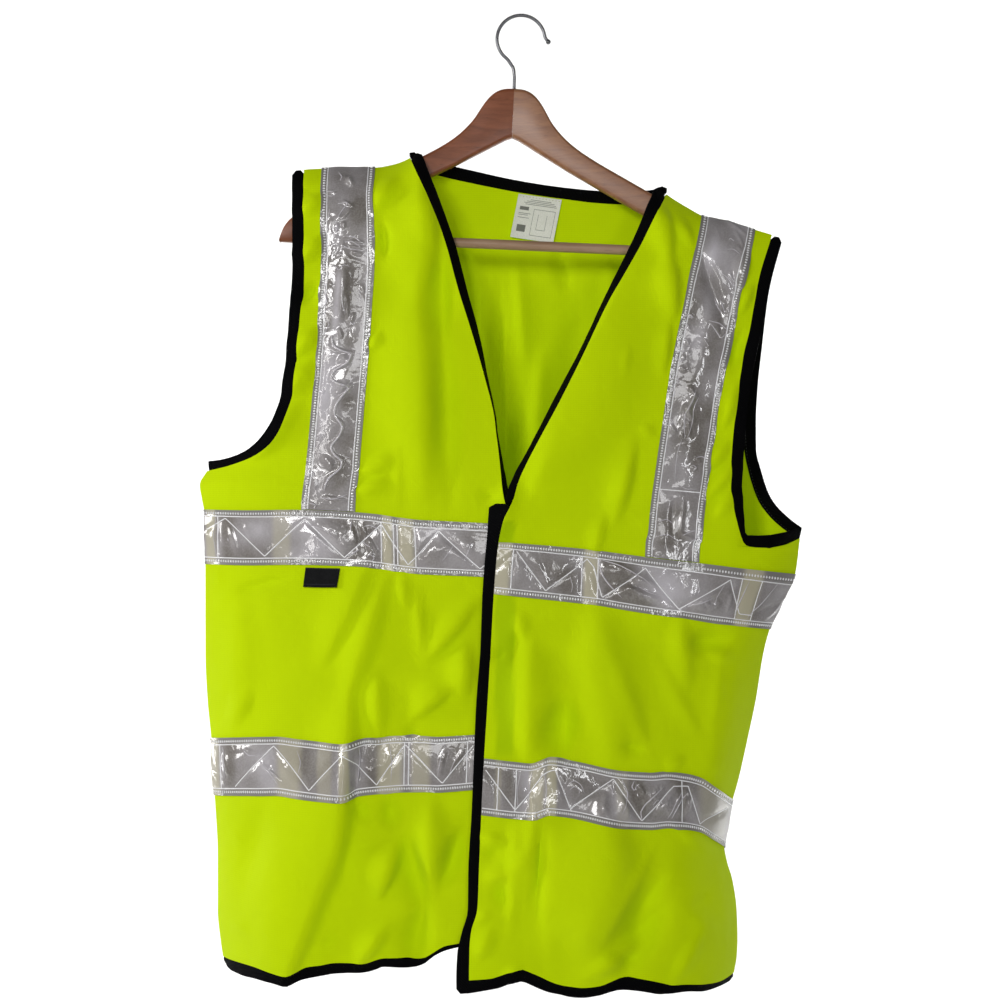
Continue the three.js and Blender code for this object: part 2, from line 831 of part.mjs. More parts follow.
function backGrid(rows, columns) {
  return rows.map((down) =>
    columns.map((across) => clothPoint("back", ...backPlan(across, down))),
  );
}

function backRows() {
  const tip = BACK.armholeLeft.at.at(-1);
  const upper = steps([...SHOULDER_STEPS, tip - 50], 32);
  const underarm = steps([tip - 50, tip, BACK.chestTop], 10);
  const lower = steps(
    [BACK.chestTop, BACK.chestBottom, BACK.waistTop, BACK.waistBottom, BACK.hem],
    35,
  );
  return [...upper, ...underarm.slice(1), ...lower.slice(1)];
}

function backPieces() {
  const rows = backRows();
  const level = (from, to, columns) => backGrid(between(rows, from, to), columns);
  const chest = level(BACK.chestTop, BACK.chestBottom, BACK_COLUMNS);
  const waist = level(BACK.waistTop, BACK.waistBottom, BACK_COLUMNS);
  const strip = (from, to) => BACK_COLUMNS.filter((place) => place >= from && place <= to);
  const left = level(0.5, BACK.chestTop - SEAM_GAP, strip(1, 2));
  const right = level(0.5, BACK.chestTop - SEAM_GAP, strip(5, 6));
  return [
    ["back", wallGeometry(backGrid(rows, BACK_COLUMNS), 0, CLOTH), "cloth"],
    ["chest_tape_back", wallGeometry(chest, TAPE_LOW, TAPE_HIGH), "tape"],
    ["waist_tape_back", wallGeometry(waist, TAPE_LOW, TAPE_HIGH), "tape"],
    ["shoulder_tape_back_left", wallGeometry(left, TAPE_LOW, TAPE_HIGH), "tape"],
    ["shoulder_tape_back_right", wallGeometry(right, TAPE_LOW, TAPE_HIGH), "tape"],
  ];
}

// ---------------------------------------------------------------- bindings
// One section of a binding: from just off the cloth's edge to the free edge, tucked in by the given depth.
function bindingSection(facing, edge, free, tuck = 0) {
  const inward = facing === "back" ? -1 : 1;
  const cloth = clothPoint(facing, ...edge).point;
  const end = clothPoint(facing, ...free).point;
  end.y += inward * tuck;
  const across = end.clone().sub(cloth);
  cloth.addScaledVector(across.clone().normalize(), BINDING_GAP);
  return { cloth, end };
}

// A strip along its sections. Its normals turn with it, square to its length and its width.
function bindingGeometry(sections, flip) {
  const middle = ({ cloth, end }) => cloth.clone().add(end).multiplyScalar(0.5);
  const grid = sections.map((section, i) => {
    const before = sections[Math.max(0, i - 1)];
    const after = sections[Math.min(sections.length - 1, i + 1)];
    const along = middle(after).sub(middle(before));
    const across = section.end.clone().sub(section.cloth);
    const normal = along.cross(across).multiplyScalar(flip).normalize();
    return [section.cloth, section.end].map((point) => ({ point, normal }));
  });
  return wallGeometry(grid, 0, BINDING_WALL);
}

function edgeSections(facing, edge, rows) {
  return rows.map((down) => {
    const tuck = edge.columns.tuck ? value(edge, "tuck", down) : 0;
    const cloth = [value(edge, "x", down), value(edge, "z", down)];
    const free = [value(edge, "freeX", down), value(edge, "freeZ", down)];
    return bindingSection(facing, cloth, free, tuck);
  });
}

// Each armhole has one strip: down the front's edge, round the underarm and up the back's edge.
function armholeBinding(front, backEdge) {
  const frontSide = frontRows(front).filter((down) => down < front.tip - 0.1);
  const backSide = backRows().filter((down) => down < backEdge.at.at(-1) - 0.1);
  const tip = edgeSections(front.side, front.armhole, [front.tip]);
  tip.forEach(({ cloth, end }) => {
    cloth.y += HALF_GAP;
    end.y += HALF_GAP;
  });
  const sections = [
    ...edgeSections(front.side, front.armhole, frontSide),
    ...tip,
    ...edgeSections("back", backEdge, backSide).reverse(),
  ];
  return bindingGeometry(sections, front.outward);
}

function openingBinding(front, from, to) {
  const rows = between(frontRows(front), from, to);
  return bindingGeometry(edgeSections(front.side, front.opening, rows), -front.outward);
}

// The hem's strip follows the cloth's lower edge over a range of x.
function hemBinding(facing, line, places, flip) {
  const sections = places.map((x) =>
    bindingSection(facing, [x, value(line, "z", x)], [x, value(line, "freeZ", x)]),
  );
  return bindingGeometry(sections, flip);
}

// Places along a hem, kept off the side seam and off whatever closes the other end.
function hemPlaces(plan, columns, hem) {
  const places = columns.map((across) => plan(across, hem)[0]);
  const onward = Math.sign(places.at(-1) - places[0]);
  places[0] += onward * HEM_END_GAP;
  places[places.length - 1] -= onward * HEM_END_GAP;
  return places;
}

function neckBinding() {
  const { neckLine } = BACK;
  const along = BACK_COLUMNS.filter((across) => across >= NECK_FROM && across <= NECK_TO);
  const places = along.map((across) => backPlan(across, 0)[0]);
  const sections = places.map((x) =>
    bindingSection(
      "back",
      [x, value(neckLine, "z", x)],
      [value(neckLine, "freeX", x), value(neckLine, "freeZ", x)],
    ),
  );
  return bindingGeometry(sections, -1);
}

function bindingPieces() {
  const left = hemPlaces((a, d) => frontPlan(LEFT, a, d), FRONT_COLUMNS, LEFT.hem);
  const right = hemPlaces((a, d) => frontPlan(RIGHT, a, d), FRONT_COLUMNS, RIGHT.hem);
  const back = hemPlaces(backPlan, BACK_COLUMNS, BACK.hem);
  return [
    ["armhole_binding_left", armholeBinding(LEFT, BACK.armholeLeft)],
    ["armhole_binding_right", armholeBinding(RIGHT, BACK.armholeRight)],
    ["opening_binding_left", openingBinding(LEFT, 0, LEFT.corner)],
    ["opening_binding_right", openingBinding(RIGHT, 0, NECK_BINDING_END)],
    ["edge_binding_right", openingBinding(RIGHT, EDGE_STRIP_TOP, RIGHT.corner)],
    ["neck_binding_back", neckBinding()],
    ["hem_binding_front_left", hemBinding("left", LEFT.hemLine, left, -1)],
    ["hem_binding_front_right", hemBinding("right", RIGHT.hemLine, right, 1)],
    ["hem_binding_back", hemBinding("back", BACK.hemLine, back, 1)],
  ].map(([name, geometry]) => [name, geometry, "binding"]);
}

// ---------------------------------------------------------------- labels
// A flat patch on the cloth, between two top corners, that hangs down by its height at a slant.
function patchGrid(facing, { left: [x0, z0], right: [x1, z1], height, slant }, count) {
  const places = Array.from({ length: count + 1 }, (_, i) => i / count);
  return places.map((down) =>
    places.map((across) =>
      clothPoint(
        facing,
        lerp(x0, x1, across) + slant * down * height,
        lerp(z0, z1, across) - down * height,
      ),
    ),
  );
}

function labelPieces() {
  const tab = patchGrid("left", SIDE_TAB, 2);
  const neck = patchGrid("back", NECK_LABEL, 4);
  return [
    ["side_tab", wallGeometry(tab, CLOTH + 0.4, CLOTH + 0.4 + LABEL_WALL), "tab"],
    ["neck_label", wallGeometry(neck, -1 - LABEL_WALL, -1), "label"],
  ];
}

// ---------------------------------------------------------------- hanger
// Outline of one arm in the hanger's own frame: x runs outwards and z up from the top of the joint. It
// starts past the joint, where it is cut off flat afterwards.
const PAST_JOINT = 8;
function armOutline(out) {
  const shape = new THREE.Shape();
  shape.moveTo(-out * PAST_JOINT, -46);
  shape.lineTo(-out * PAST_JOINT, 0);
  shape.lineTo(out * 6, -0.4);
  shape.bezierCurveTo(out * 24, -2, out * 30, -22, out * 38, -33);
  shape.bezierCurveTo(out * 50, -49, out * 62, -57.5, out * 84, -70.3);
  shape.lineTo(out * 199, -133);
  shape.quadraticCurveTo(out * 212, -141, out * 214, -159.5);
  shape.lineTo(out * 197, -159.5);
  shape.lineTo(out * 128, -118.5);
  shape.lineTo(out * 54, -78);
  shape.lineTo(out * 2, -47);
  shape.closePath();
  return shape;
}

function solidOf(geometry) {
  const bare = geometry.clone();
  bare.deleteAttribute("normal");
  bare.deleteAttribute("uv");
  const merged = mergeVertices(bare, 1e-4);
  const vertProperties = Float32Array.from(merged.getAttribute("position").array);
  const triVerts = Uint32Array.from(merged.index.array);
  return new wasm.Manifold(new wasm.Mesh({ numProp: 3, vertProperties, triVerts }));
}

function geometryOf(solid) {
  const mesh = solid.getMesh();
  const geometry = new THREE.BufferGeometry();
  geometry.setAttribute("position", new THREE.BufferAttribute(mesh.vertProperties, 3));
  geometry.setIndex(new THREE.BufferAttribute(mesh.triVerts, 1));
  geometry.computeVertexNormals();
  return geometry;
}

// One half of the hanger: a rounded board, sheared forwards, cut flat at the joint, and bored for the
// hook's shank and the end of the crossbar.
const SHANK_DEPTH = 25;
const BORE_GAP = 0.35;
function armGeometry(out) {
  const flat = HANGER_THICKNESS - 2 * HANGER_EDGE;
  const board = new THREE.ExtrudeGeometry(armOutline(out), {
    depth: flat,
    bevelThickness: HANGER_EDGE,
    bevelSize: HANGER_EDGE,
    bevelOffset: -HANGER_EDGE,
    bevelSegments: 2,
    curveSegments: 7,
  });
  board.translate(0, 0, -flat / 2);
  board.rotateX(Math.PI / 2);
  board.applyMatrix4(new THREE.Matrix4().makeShear(-out * HANGER_SWEEP, 0, 0, 0, 0, 0));
  const beyond = new THREE.BoxGeometry(40, 60, 120);
  beyond.translate(out * (0.15 - 20), 0, -30);
  const shank = new THREE.CylinderGeometry(HOOK_WIRE + BORE_GAP, HOOK_WIRE + BORE_GAP, 40, 12);
  shank.rotateX(Math.PI / 2);
  shank.translate(0, 0, 20 - SHANK_DEPTH);
  const radius = CROSSBAR_RADIUS + BORE_GAP;
  const barBore = new THREE.CylinderGeometry(radius, radius, 60, 16);
  barBore.rotateZ(Math.PI / 2);
  barBore.translate(out * (CROSSBAR_HALF + BORE_GAP - 30), CROSSBAR_Y, -CROSSBAR_DROP);
  const cut = [beyond, shank, barBore].reduce(
    (solid, tool) => solid.subtract(solidOf(tool)),
    solidOf(board),
  );
  return geometryOf(cut);
}

// The hook's centre line: up out of the wood, over to the far side of its round, over the top and down to
// a tip that flares out.
function hookGeometry() {
  const lean = Math.sin(HANGER_ROLL) * SHANK_DEPTH;
  const points = [
    new THREE.Vector3(HANGER_CENTRE.x - lean, 0, HANGER_CENTRE.z - SHANK_DEPTH + 1),
    new THREE.Vector3(HANGER_CENTRE.x, 0, HANGER_CENTRE.z),
    new THREE.Vector3(HANGER_CENTRE.x + 0.3, 0, HANGER_CENTRE.z + 12),
    new THREE.Vector3(HANGER_CENTRE.x - 0.6, 0, HANGER_CENTRE.z + 20),
  ];
  const turns = 20;
  for (let k = 0; k <= turns; k += 1) {
    const angle = THREE.MathUtils.degToRad(lerp(236, 4, k / turns));
    const x = HOOK_RADIUS * Math.cos(angle);
    const z = HOOK_RADIUS * Math.sin(angle) + HOOK_CENTRE_Z;
    points.push(new THREE.Vector3(x, 0, z));
  }
  points.push(new THREE.Vector3(HOOK_RADIUS + 3.2, 0, HOOK_CENTRE_Z - 2.5));
  const section = new THREE.Shape().absarc(0, 0, HOOK_WIRE, 0, 2 * Math.PI);
  const wire = new THREE.ExtrudeGeometry(section, {
    extrudePath: new THREE.CatmullRomCurve3(points, false, "centripetal"),
    steps: 48,
    curveSegments: 4,
    bevelEnabled: false,
  });
  const tip = new THREE.SphereGeometry(HOOK_WIRE + 0.8, 12, 8);
  tip.translate(...points.at(-1).toArray());
  return geometryOf(solidOf(wire).add(solidOf(tip)));
}

function crossbarGeometry() {
  const radius = CROSSBAR_RADIUS;
  const bar = new THREE.CylinderGeometry(radius, radius, 2 * CROSSBAR_HALF, 20);
  bar.rotateZ(Math.PI / 2);
  return bar;
}

// ---------------------------------------------------------------- assembly
const FINISHES = {
  cloth: { color: 0xc3dc00, roughness: 0.85, metalness: 0 },
  tape: { color: 0xb4b2a8, roughness: 0.2, metalness: 0.1 },
  binding: { color: 0x0c0c12, roughness: 0.9, metalness: 0 },
  tab: { color: 0x15151a, roughness: 0.8, metalness: 0 },
  label: { color: 0xd8d8c4, roughness: 0.7, metalness: 0 },
  darkWood: { color: 0x643c26, roughness: 0.45, metalness: 0 },
  lightWood: { color: 0x94705a, roughness: 0.45, metalness: 0 },
  dowel: { color: 0xb49a84, roughness: 0.6, metalness: 0 },
  steel: { color: 0x9a9a9c, roughness: 0.25, metalness: 1 },
};

function piece(name, geometry, finish) {
  const mesh = new THREE.Mesh(geometry, new THREE.MeshStandardMaterial(FINISHES[finish]));
  mesh.name = name;
  return mesh;
}

const garment = new THREE.Group();
[
  ...frontPieces(LEFT),
  ...frontPieces(RIGHT),
  ...backPieces(),
  ...bindingPieces(),
  ...labelPieces(),
].forEach((made) => garment.add(piece(...made)));

const hanger = new THREE.Group();
hanger.position.copy(HANGER_CENTRE);
hanger.rotation.y = HANGER_ROLL;
hanger.add(piece("hanger_arm_left", armGeometry(-1), "darkWood"));
hanger.add(piece("hanger_arm_right", armGeometry(1), "lightWood"));
const crossbar = piece("hanger_crossbar", crossbarGeometry(), "dowel");
crossbar.position.set(0, CROSSBAR_Y, -CROSSBAR_DROP);
hanger.add(crossbar);

const whole = new THREE.Group();
whole.add(garment, hanger, piece("hanger_hook", hookGeometry(), "steel"));

export default whole;
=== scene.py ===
"""Looks of a sleeveless high-visibility vest on a wooden hanger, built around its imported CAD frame.

Sizes are millimetres until a mesh is made. +Z is up, the fronts face -Y, and the origin is the inside top of
the hanger's hook. Left and right are as seen from the front.
"""

import math

import bpy
import numpy as np
from bpy.props import FloatProperty, FloatVectorProperty, PointerProperty
from bpy.types import Operator, Panel, PropertyGroup
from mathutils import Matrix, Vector


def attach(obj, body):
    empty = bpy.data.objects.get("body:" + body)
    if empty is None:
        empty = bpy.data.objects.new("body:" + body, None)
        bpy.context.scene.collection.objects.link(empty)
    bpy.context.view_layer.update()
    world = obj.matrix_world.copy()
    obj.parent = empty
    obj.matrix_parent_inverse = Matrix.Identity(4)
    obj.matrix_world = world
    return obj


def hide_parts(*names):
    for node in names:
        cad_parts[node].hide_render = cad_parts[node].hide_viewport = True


bl_info = {
    "name": "High-visibility vest on a hanger", "version": (1, 0, 0), "blender": (4, 5, 0),
    "location": "View3D > Sidebar > Vest",
    "description": "Builds a bound, taped work vest and the wooden hanger that it hangs on",
    "category": "Object"}

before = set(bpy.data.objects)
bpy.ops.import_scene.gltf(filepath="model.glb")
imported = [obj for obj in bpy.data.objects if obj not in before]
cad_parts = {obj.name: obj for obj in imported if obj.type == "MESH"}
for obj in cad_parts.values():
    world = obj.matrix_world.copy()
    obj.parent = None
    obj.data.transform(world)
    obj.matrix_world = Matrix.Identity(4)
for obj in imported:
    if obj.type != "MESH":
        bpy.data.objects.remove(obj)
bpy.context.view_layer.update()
MM = 0.001

# ---------------------------------------------------------------- driving sizes, as in the CAD
SEAM_GAP = 0.4
CLOTH = 1.2  # wall of one layer of knitted cloth
TAPE_WIDTH = 50
TAPE_WALL = 1.0  # clear film over its backing
TAPE_LIFT = 0.3  # from the cloth's outer face to the tape's inner face
BINDING_THICKNESS = 2.6  # folded over the cloth's raw edge
NECK_BINDING_END = 275.9  # how far down the right front its neck binding ends
EDGE_STRIP_TOP = 278  # and its edge strip starts
SIDE_TAB = {"left": (-199.5, -523.9), "right": (-167.5, -524.8), "height": 18, "slant": -0.1}
NECK_LABEL = {"left": (-2, -166.4), "right": (39.5, -172.6), "height": 41, "slant": -0.2}

HANGER_CENTRE = (-6.5, 0, -69)  # top of the joint between the two arms
HANGER_SWEEP = 0.14  # how fast the arms come forward: mm for each mm outwards
HANGER_ROLL = math.radians(2.5)  # the right arm hangs a little low
HANGER_THICKNESS = 12
HANGER_EDGE = 4  # rounding of the wood's long edges
CROSSBAR_RADIUS = 4.7
CROSSBAR_DROP = 152.5  # below the top of the joint
CROSSBAR_HALF = 203
HOOK_WIRE = 1.6  # radius
HOOK_RADIUS = 22.9  # to the wire's centre


# ---------------------------------------------------------------- tables
def table(names, *rows):
    """Named columns with one row for each section. The first column says where the section is."""
    return dict(zip(names.split(), np.array(rows, dtype=float).T))


# The columns of a fold across a line, with its width to each side and its height out of the cloth; and those
# of a patch on a tape, with its half length, half width and amount.
FOLD = "x0 z0 x1 z1 right left out"
PATCH = "place up long wide out"


def value(rows, name, place):
    """A smooth value between the rows of a table, held level beyond its ends.

    Formula: a cubic Hermite piece between each two rows. The slope at a row is the weighted harmonic mean of
    the slopes on its two sides, or level where they turn, so that the value never overshoots a row.
    """
    at = next(iter(rows.values()))
    height = rows[name]
    if at[0] > at[-1]:
        at, height = at[::-1], height[::-1]
    place = np.clip(place, at[0], at[-1])
    step = np.diff(at)
    rise = np.diff(height) / step
    before, after = rise[:-1], rise[1:]
    turns = before * after <= 0
    first = 2 * step[1:] + step[:-1]
    second = step[1:] + 2 * step[:-1]
    mean = first / np.where(turns, 1, before) + second / np.where(turns, 1, after)
    inner = np.where(turns, 0, (first + second) / np.where(turns, 1, mean))
    slope = np.concatenate(([rise[0]], inner, [rise[-1]]))
    i = np.clip(np.searchsorted(at, place, side="right") - 1, 0, len(at) - 2)
    t = (place - at[i]) / step[i]
    level = height[i] * (1 + 2 * t) * (1 - t) ** 2 + height[i + 1] * t * t * (3 - 2 * t)
    return level + step[i] * t * (1 - t) * (slope[i] * (1 - t) - slope[i + 1] * t)


def smoothstep(place, start, end):
    """0 before start and 1 after end, with the cubic 3t^2 - 2t^3 between them."""
    t = np.clip((place - start) / (end - start), 0, 1)
    return t * t * (3 - 2 * t)


def mix(first, last, part):
    return first + (last - first) * part


# Top fold of each shoulder, from the armhole to the neck. Then the side folds of the body, how far the cloth
# stands forward and back, and the largest folds: ridges (out is positive) and troughs along a line, with
# their half widths on its right and left.
SHOULDER_LEFT = table(
    "x z", (-216, -153.5), (-205, -151), (-187, -149.5), (-160, -148.5), (-138, -147.5), (-120, -144),
    (-105, -137.5), (-96, -130))
SHOULDER_RIGHT = table(
    "x z", (127.5, -164.5), (137, -173), (155, -185), (173, -195), (195, -201), (218, -207.5), (235, -213),
    (245, -216.5))
SIDES = table(
    "z left right", (-300, -330, 300), (-350, -326, 299), (-380, -312, 297), (-400, -301, 290),
    (-415, -293.5, 282), (-425, -291, 277), (-434, -296, 272), (-447, -303, 266), (-460, -301, 263),
    (-475, -298.3, 262.5), (-486, -297.7, 264), (-500, -297.7, 262.5), (-530, -297.7, 259),
    (-557, -297.7, 246.5), (-582, -297.7, 235.5), (-605, -297.7, 229.5), (-650, -295.8, 222.5),
    (-686, -292.5, 215.2), (-726, -290.5, 206.5), (-758, -288.2, 198), (-792, -286.5, 193),
    (-803, -286.4, 195), (-823, -286.4, 200.5), (-850, -286.4, 204.5), (-880, -283.5, 205.5),
    (-895, -281.2, 204.8), (-912, -279, 202))
DEPTHS = table(
    "z front back side_left side_right", (-130, 38, 16, -20, -20), (-200, 45, 20, -20, -20),
    (-300, 49, 24, -20, -20), (-450, 54, 28, -20, -20), (-550, 62, 31, -19, -15), (-650, 76, 33, -17, -8),
    (-735, 88, 34, -15, -4), (-820, 94, 34, -14, -3), (-910, 98, 32, -14, -3))
FOLDS_FRONT = table(
    FOLD, (-255, -520, -262, -860, 20, 20, -3), (98, -700, 55, -905, 22, 34, 4),
    (128, -790, 88, -915, 16, 20, -3), (182, -360, 178, -500, 14, 14, -3),
    (-214, -740, -240, -900, 24, 24, 4))
FOLDS_BACK = table(
    FOLD, (-90, -200, -105, -520, 22, 22, 6), (-40, -260, -20, -600, 24, 24, -6),
    (50, -240, 62, -560, 22, 22, 6), (110, -330, 90, -620, 24, 24, -6), (-180, -560, -215, -890, 22, 22, 8),
    (-120, -600, -110, -890, 24, 24, -7), (-20, -640, -45, -890, 22, 22, 8),
    (60, -600, 40, -890, 24, 24, -7), (140, -600, 120, -890, 20, 20, 7))
LEFT = {
    "side": "left", "outward": -1, "chest_top": 324, "chest_bottom": 374, "waist_top": 532,
    "waist_bottom": 582, "tip": 282, "hem_start": 637, "hem": 728, "corner": 735,
    "armhole": table("down x z free_x free_z", (0, -204.5, -151, -215, -152), (45, -203, -198, -213.5, -198),
        (93, -202, -247, -213, -247), (138, -206, -291, -216, -291), (177, -209, -331, -219, -330.5),
        (206, -212.5, -362, -223, -361), (229, -220, -386.5, -229, -382.5), (247, -231, -406, -239.5, -400),
        (261, -247.5, -419.3, -252, -412), (270.5, -264, -426.3, -266.5, -419.5),
        (277, -281, -431.5, -282, -424), (282, -296.5, -434, -292.5, -425.5)),
    "seam": table("down z", (282, -434), (297, -447), (324, -470), (374, -521.5), (423, -574), (477, -630),
        (532, -686.4), (582, -741), (637, -800), (685, -852), (728, -893)),
    "opening": table("down x z free_x free_z tuck", (0, -105, -137.5, -96, -130, 0),
        (45, -86, -184, -77, -180.5, 4), (93, -69.5, -226, -62, -223, 7), (138, -57, -271, -50, -269, 8),
        (177, -47, -303, -41, -301.5, 9), (206, -39, -330, -35, -329, 10), (229, -33, -352, -31, -351, 10.5),
        (247, -28, -371, -26.5, -370.5, 11), (261, -25, -386, -24, -386, 11),
        (270.5, -23.5, -400, -22.5, -400, 11), (277, -22, -411, -20.5, -411, 11),
        (282, -20.5, -424, -18, -424, 10.5), (297, -18.5, -443, -14.5, -443, 10),
        (324, -12, -484, -3, -484, 6), (374, -7, -533.5, 3.5, -533.5, 2), (423, -9, -572, 2, -572, 1),
        (477, -13, -625, -2, -625, 0), (532, -18, -674, -7, -674, 0), (582, -20, -722.5, -9, -722.5, 0),
        (637, -24, -780, -13, -780, 0), (685, -29, -822, -18, -822, 0), (728, -36, -857, -25, -854, 0),
        (735, -36.5, -861.5, -25.5, -858.5, 0)),
    "sag": table("down z", (0, 0), (247, 0), (282, 3), (324, 0), (728, 0)),
    "rise": table("x chest waist", (-298, 0, 0), (-260, 1, 3.5), (-240, 2, 4.2), (-225, 3, 4.5),
        (-204, 4, 1.8), (-180, 4.5, -1), (-163, 4.5, -2.5), (-150, 4.2, 0.5), (-135, 3.5, 1.3),
        (-115, 1.5, 1.6), (-91, 0, 0.5), (-75, 0, -1), (-18, 0, 0)),
    "tape": table("down x", (0, -163), (45, -162.5), (93, -161.5), (138, -164), (177, -166), (206, -168.5),
        (247, -172), (282, -175), (324, -179), (728, -179)),
    "hem_line": table("x z free_z", (-281.3, -893, -899), (-273.6, -892.4, -903), (-258.5, -891, -903.2),
        (-245.7, -890.6, -902), (-230.6, -892, -902), (-216, -893.6, -903.8), (-206.7, -890.2, -900),
        (-197, -886, -896.5), (-183, -883.6, -893), (-169.5, -880.8, -890.2), (-142, -880, -888.3),
        (-133, -877.5, -886), (-125.8, -875.8, -883.2), (-106, -875.5, -883.7), (-96.8, -877, -882.8),
        (-87.7, -875.2, -879.4), (-81.3, -871.3, -874.2), (-69.6, -864.5, -868.3), (-57.9, -862.3, -865.2),
        (-36, -857, -861))}
RIGHT = {
    "side": "right", "outward": 1, "chest_top": 316, "chest_bottom": 366, "waist_top": 513,
    "waist_bottom": 563, "tip": 305, "hem_start": 610, "hem": 696, "corner": 707,
    "armhole": table("down x z free_x free_z", (0, 235, -213.5, 244.5, -216), (40, 221.5, -254, 233, -255.5),
        (91, 212.5, -302, 223.5, -303), (141, 202.5, -351, 213, -351.5), (184, 197.5, -392, 208.5, -391.5),
        (218, 195, -425, 206, -425), (241, 194.5, -447.5, 205, -447), (260, 196.5, -466, 206, -465.5),
        (274, 200.5, -483.5, 207.5, -482), (281, 204, -496.5, 208, -491.5), (286, 208, -503.5, 210, -494.5),
        (292, 217.5, -506, 219.5, -495), (298, 236, -505.5, 235, -494.5), (302, 251.5, -502.5, 250.5, -491),
        (305, 263, -497.5, 264.5, -487.5)),
    "seam": table("down z", (305, -497.5), (316, -531), (366, -583), (415, -635), (464, -690), (513, -746),
        (563, -797), (610, -842), (655, -879), (696, -911)),
    "opening": table("down x z free_x free_z tuck", (0, 137, -173, 127.5, -164.5, 0),
        (40, 112, -222, 104.5, -218, 6), (91, 83, -274, 78.2, -271.4, 9), (141, 58, -325, 54, -323, 9.5),
        (184, 36, -369, 31, -366.5, 9), (218, 17, -405, 12.5, -402.8, 9), (241, 4, -430, -0.5, -427.5, 7),
        (260, -4.5, -448, -11, -448, 2), (276, -9, -463.6, -17.5, -463.6, 0),
        (278, -9.6, -465, -29.4, -464.6, 0), (292, -16.5, -479, -30.4, -479, 0),
        (305, -19.6, -491, -31.2, -491, 0), (316, -21.3, -500, -32, -500, 0),
        (366, -25.7, -548, -35.6, -548, 0), (415, -28.5, -598, -37.4, -598, 0),
        (464, -31.5, -648, -41.2, -648, 0), (513, -34.5, -696, -43.2, -696, 0),
        (563, -37, -746, -45.2, -746, 0), (610, -39, -795, -48, -795, 0), (640, -40.5, -831, -48.5, -831, 0),
        (655, -46, -850, -54, -852, 0), (670, -47.5, -868, -58, -870, 0),
        (696, -47.9, -893.5, -58.9, -894, 0), (707, -47.7, -905, -58.7, -906, 0)),
    "sag": table("down z", (0, 0), (292, 0), (298, 3), (302, 9), (305, 19), (316, 0), (696, 0)),
    "rise": table("x chest waist", (-35, 0, 0), (8, 1, 5), (26, 1.5, 13), (64, 2, 14.4), (85, 1.5, 14.4),
        (116, 0.8, 17.5), (136, 0.6, 22), (152, 0.6, 22.5), (163, 0.6, 21.5), (180, 0.4, 13), (200, 0, 0)),
    "tape": table("down x", (0, 194.5), (40, 184), (91, 173.5), (141, 163), (184, 156.5), (241, 148),
        (286, 142), (316, 139), (696, 139)),
    "hem_line": table("x z free_z", (-47.9, -893.5, -905), (-29, -892.2, -901.8), (-20, -889.8, -900.3),
        (-11, -886.6, -896.5), (-1.1, -884.4, -895.2), (7, -887.3, -898), (16, -891.3, -902.2),
        (25, -895.8, -905.6), (34.2, -899.2, -907.6), (43.2, -900.8, -910), (55, -902, -911),
        (70.4, -900.8, -909.2), (79.5, -897.7, -906.6), (88.6, -895, -905.1), (95, -894.5, -905.4),
        (107, -896.2, -907), (116.4, -898.2, -909.1), (125.7, -900.8, -911.3), (135.2, -903.6, -911.6),
        (149.7, -905.3, -912), (171, -909.5, -915.8), (188.9, -912, -916.5), (202, -911, -917))}
BACK = {
    "chest_top": 316, "chest_bottom": 366, "waist_top": 516, "waist_bottom": 566, "neck_ease": 75,
    "hem_start": 616, "hem": 704,
    "armhole_right": table("down x z free_x free_z", (0, 235, -213.5, 244.5, -216),
        (35, 228.5, -245, 239, -247), (60, 225, -269, 235.5, -270), (110, 219.5, -316, 230.5, -317),
        (150, 216.5, -352, 227, -352.5), (190, 214.5, -388, 225.5, -388), (215, 215.5, -412, 225.5, -412),
        (240, 219.5, -434.5, 230, -434), (258, 227.5, -460.5, 237, -457), (270, 237, -475, 245, -469.5),
        (280, 250.5, -488, 254, -479), (288, 263, -497.5, 264.5, -487.5)),
    "armhole_left": table("down x z free_x free_z", (0, -204.5, -151, -215, -152),
        (35, -203, -188, -213.5, -188), (60, -202, -216, -212.5, -216), (110, -201, -268, -211.5, -268),
        (150, -203, -305, -213.5, -304), (190, -207, -341, -217.5, -339.5), (215, -211, -364, -221.5, -361),
        (240, -220, -387, -228.5, -381.5), (258, -234, -409, -241.5, -401.5),
        (270, -250, -424, -255, -414.5), (280, -273, -432.5, -275, -423.5),
        (288, -296.5, -434, -292.5, -425.5)),
    "side_left": table("down z", (288, -434), (302, -449), (316, -472), (366, -522), (416, -576),
        (466, -631), (516, -687), (566, -738), (616, -790), (704, -893)),
    "side_right": table("down z", (288, -497.5), (302, -513), (316, -531), (366, -582), (416, -636),
        (466, -691), (516, -746), (566, -795), (616, -842), (704, -911)),
    "tape_left": table("down x", (0, -163), (150, -164), (316, -172), (704, -172)),
    "tape_right": table("down x", (0, 194.5), (150, 170), (316, 150), (704, 146)),
    "neck_left": table("down x", (0, -105), (316, -100), (704, -95)),
    "neck_right": table("down x", (0, 137), (316, 105), (704, 90)),
    "neck_line": table("x z free_x free_z", (-105, -137.5, -96, -130), (-92, -146, -85, -137),
        (-70, -152, -66, -141.8), (-40, -158, -38, -148), (-5, -164.5, -4, -155), (40, -171.5, 40, -162.5),
        (78, -176.5, 76, -166.8), (105, -178, 101, -168), (124, -177, 117, -168),
        (137, -173, 127.5, -164.5)),
    "hem_line": table("x z free_z", (-281.3, -893, -899), (-200, -887, -897.5), (-60, -880, -890),
        (90, -893, -904), (202, -911, -917))}

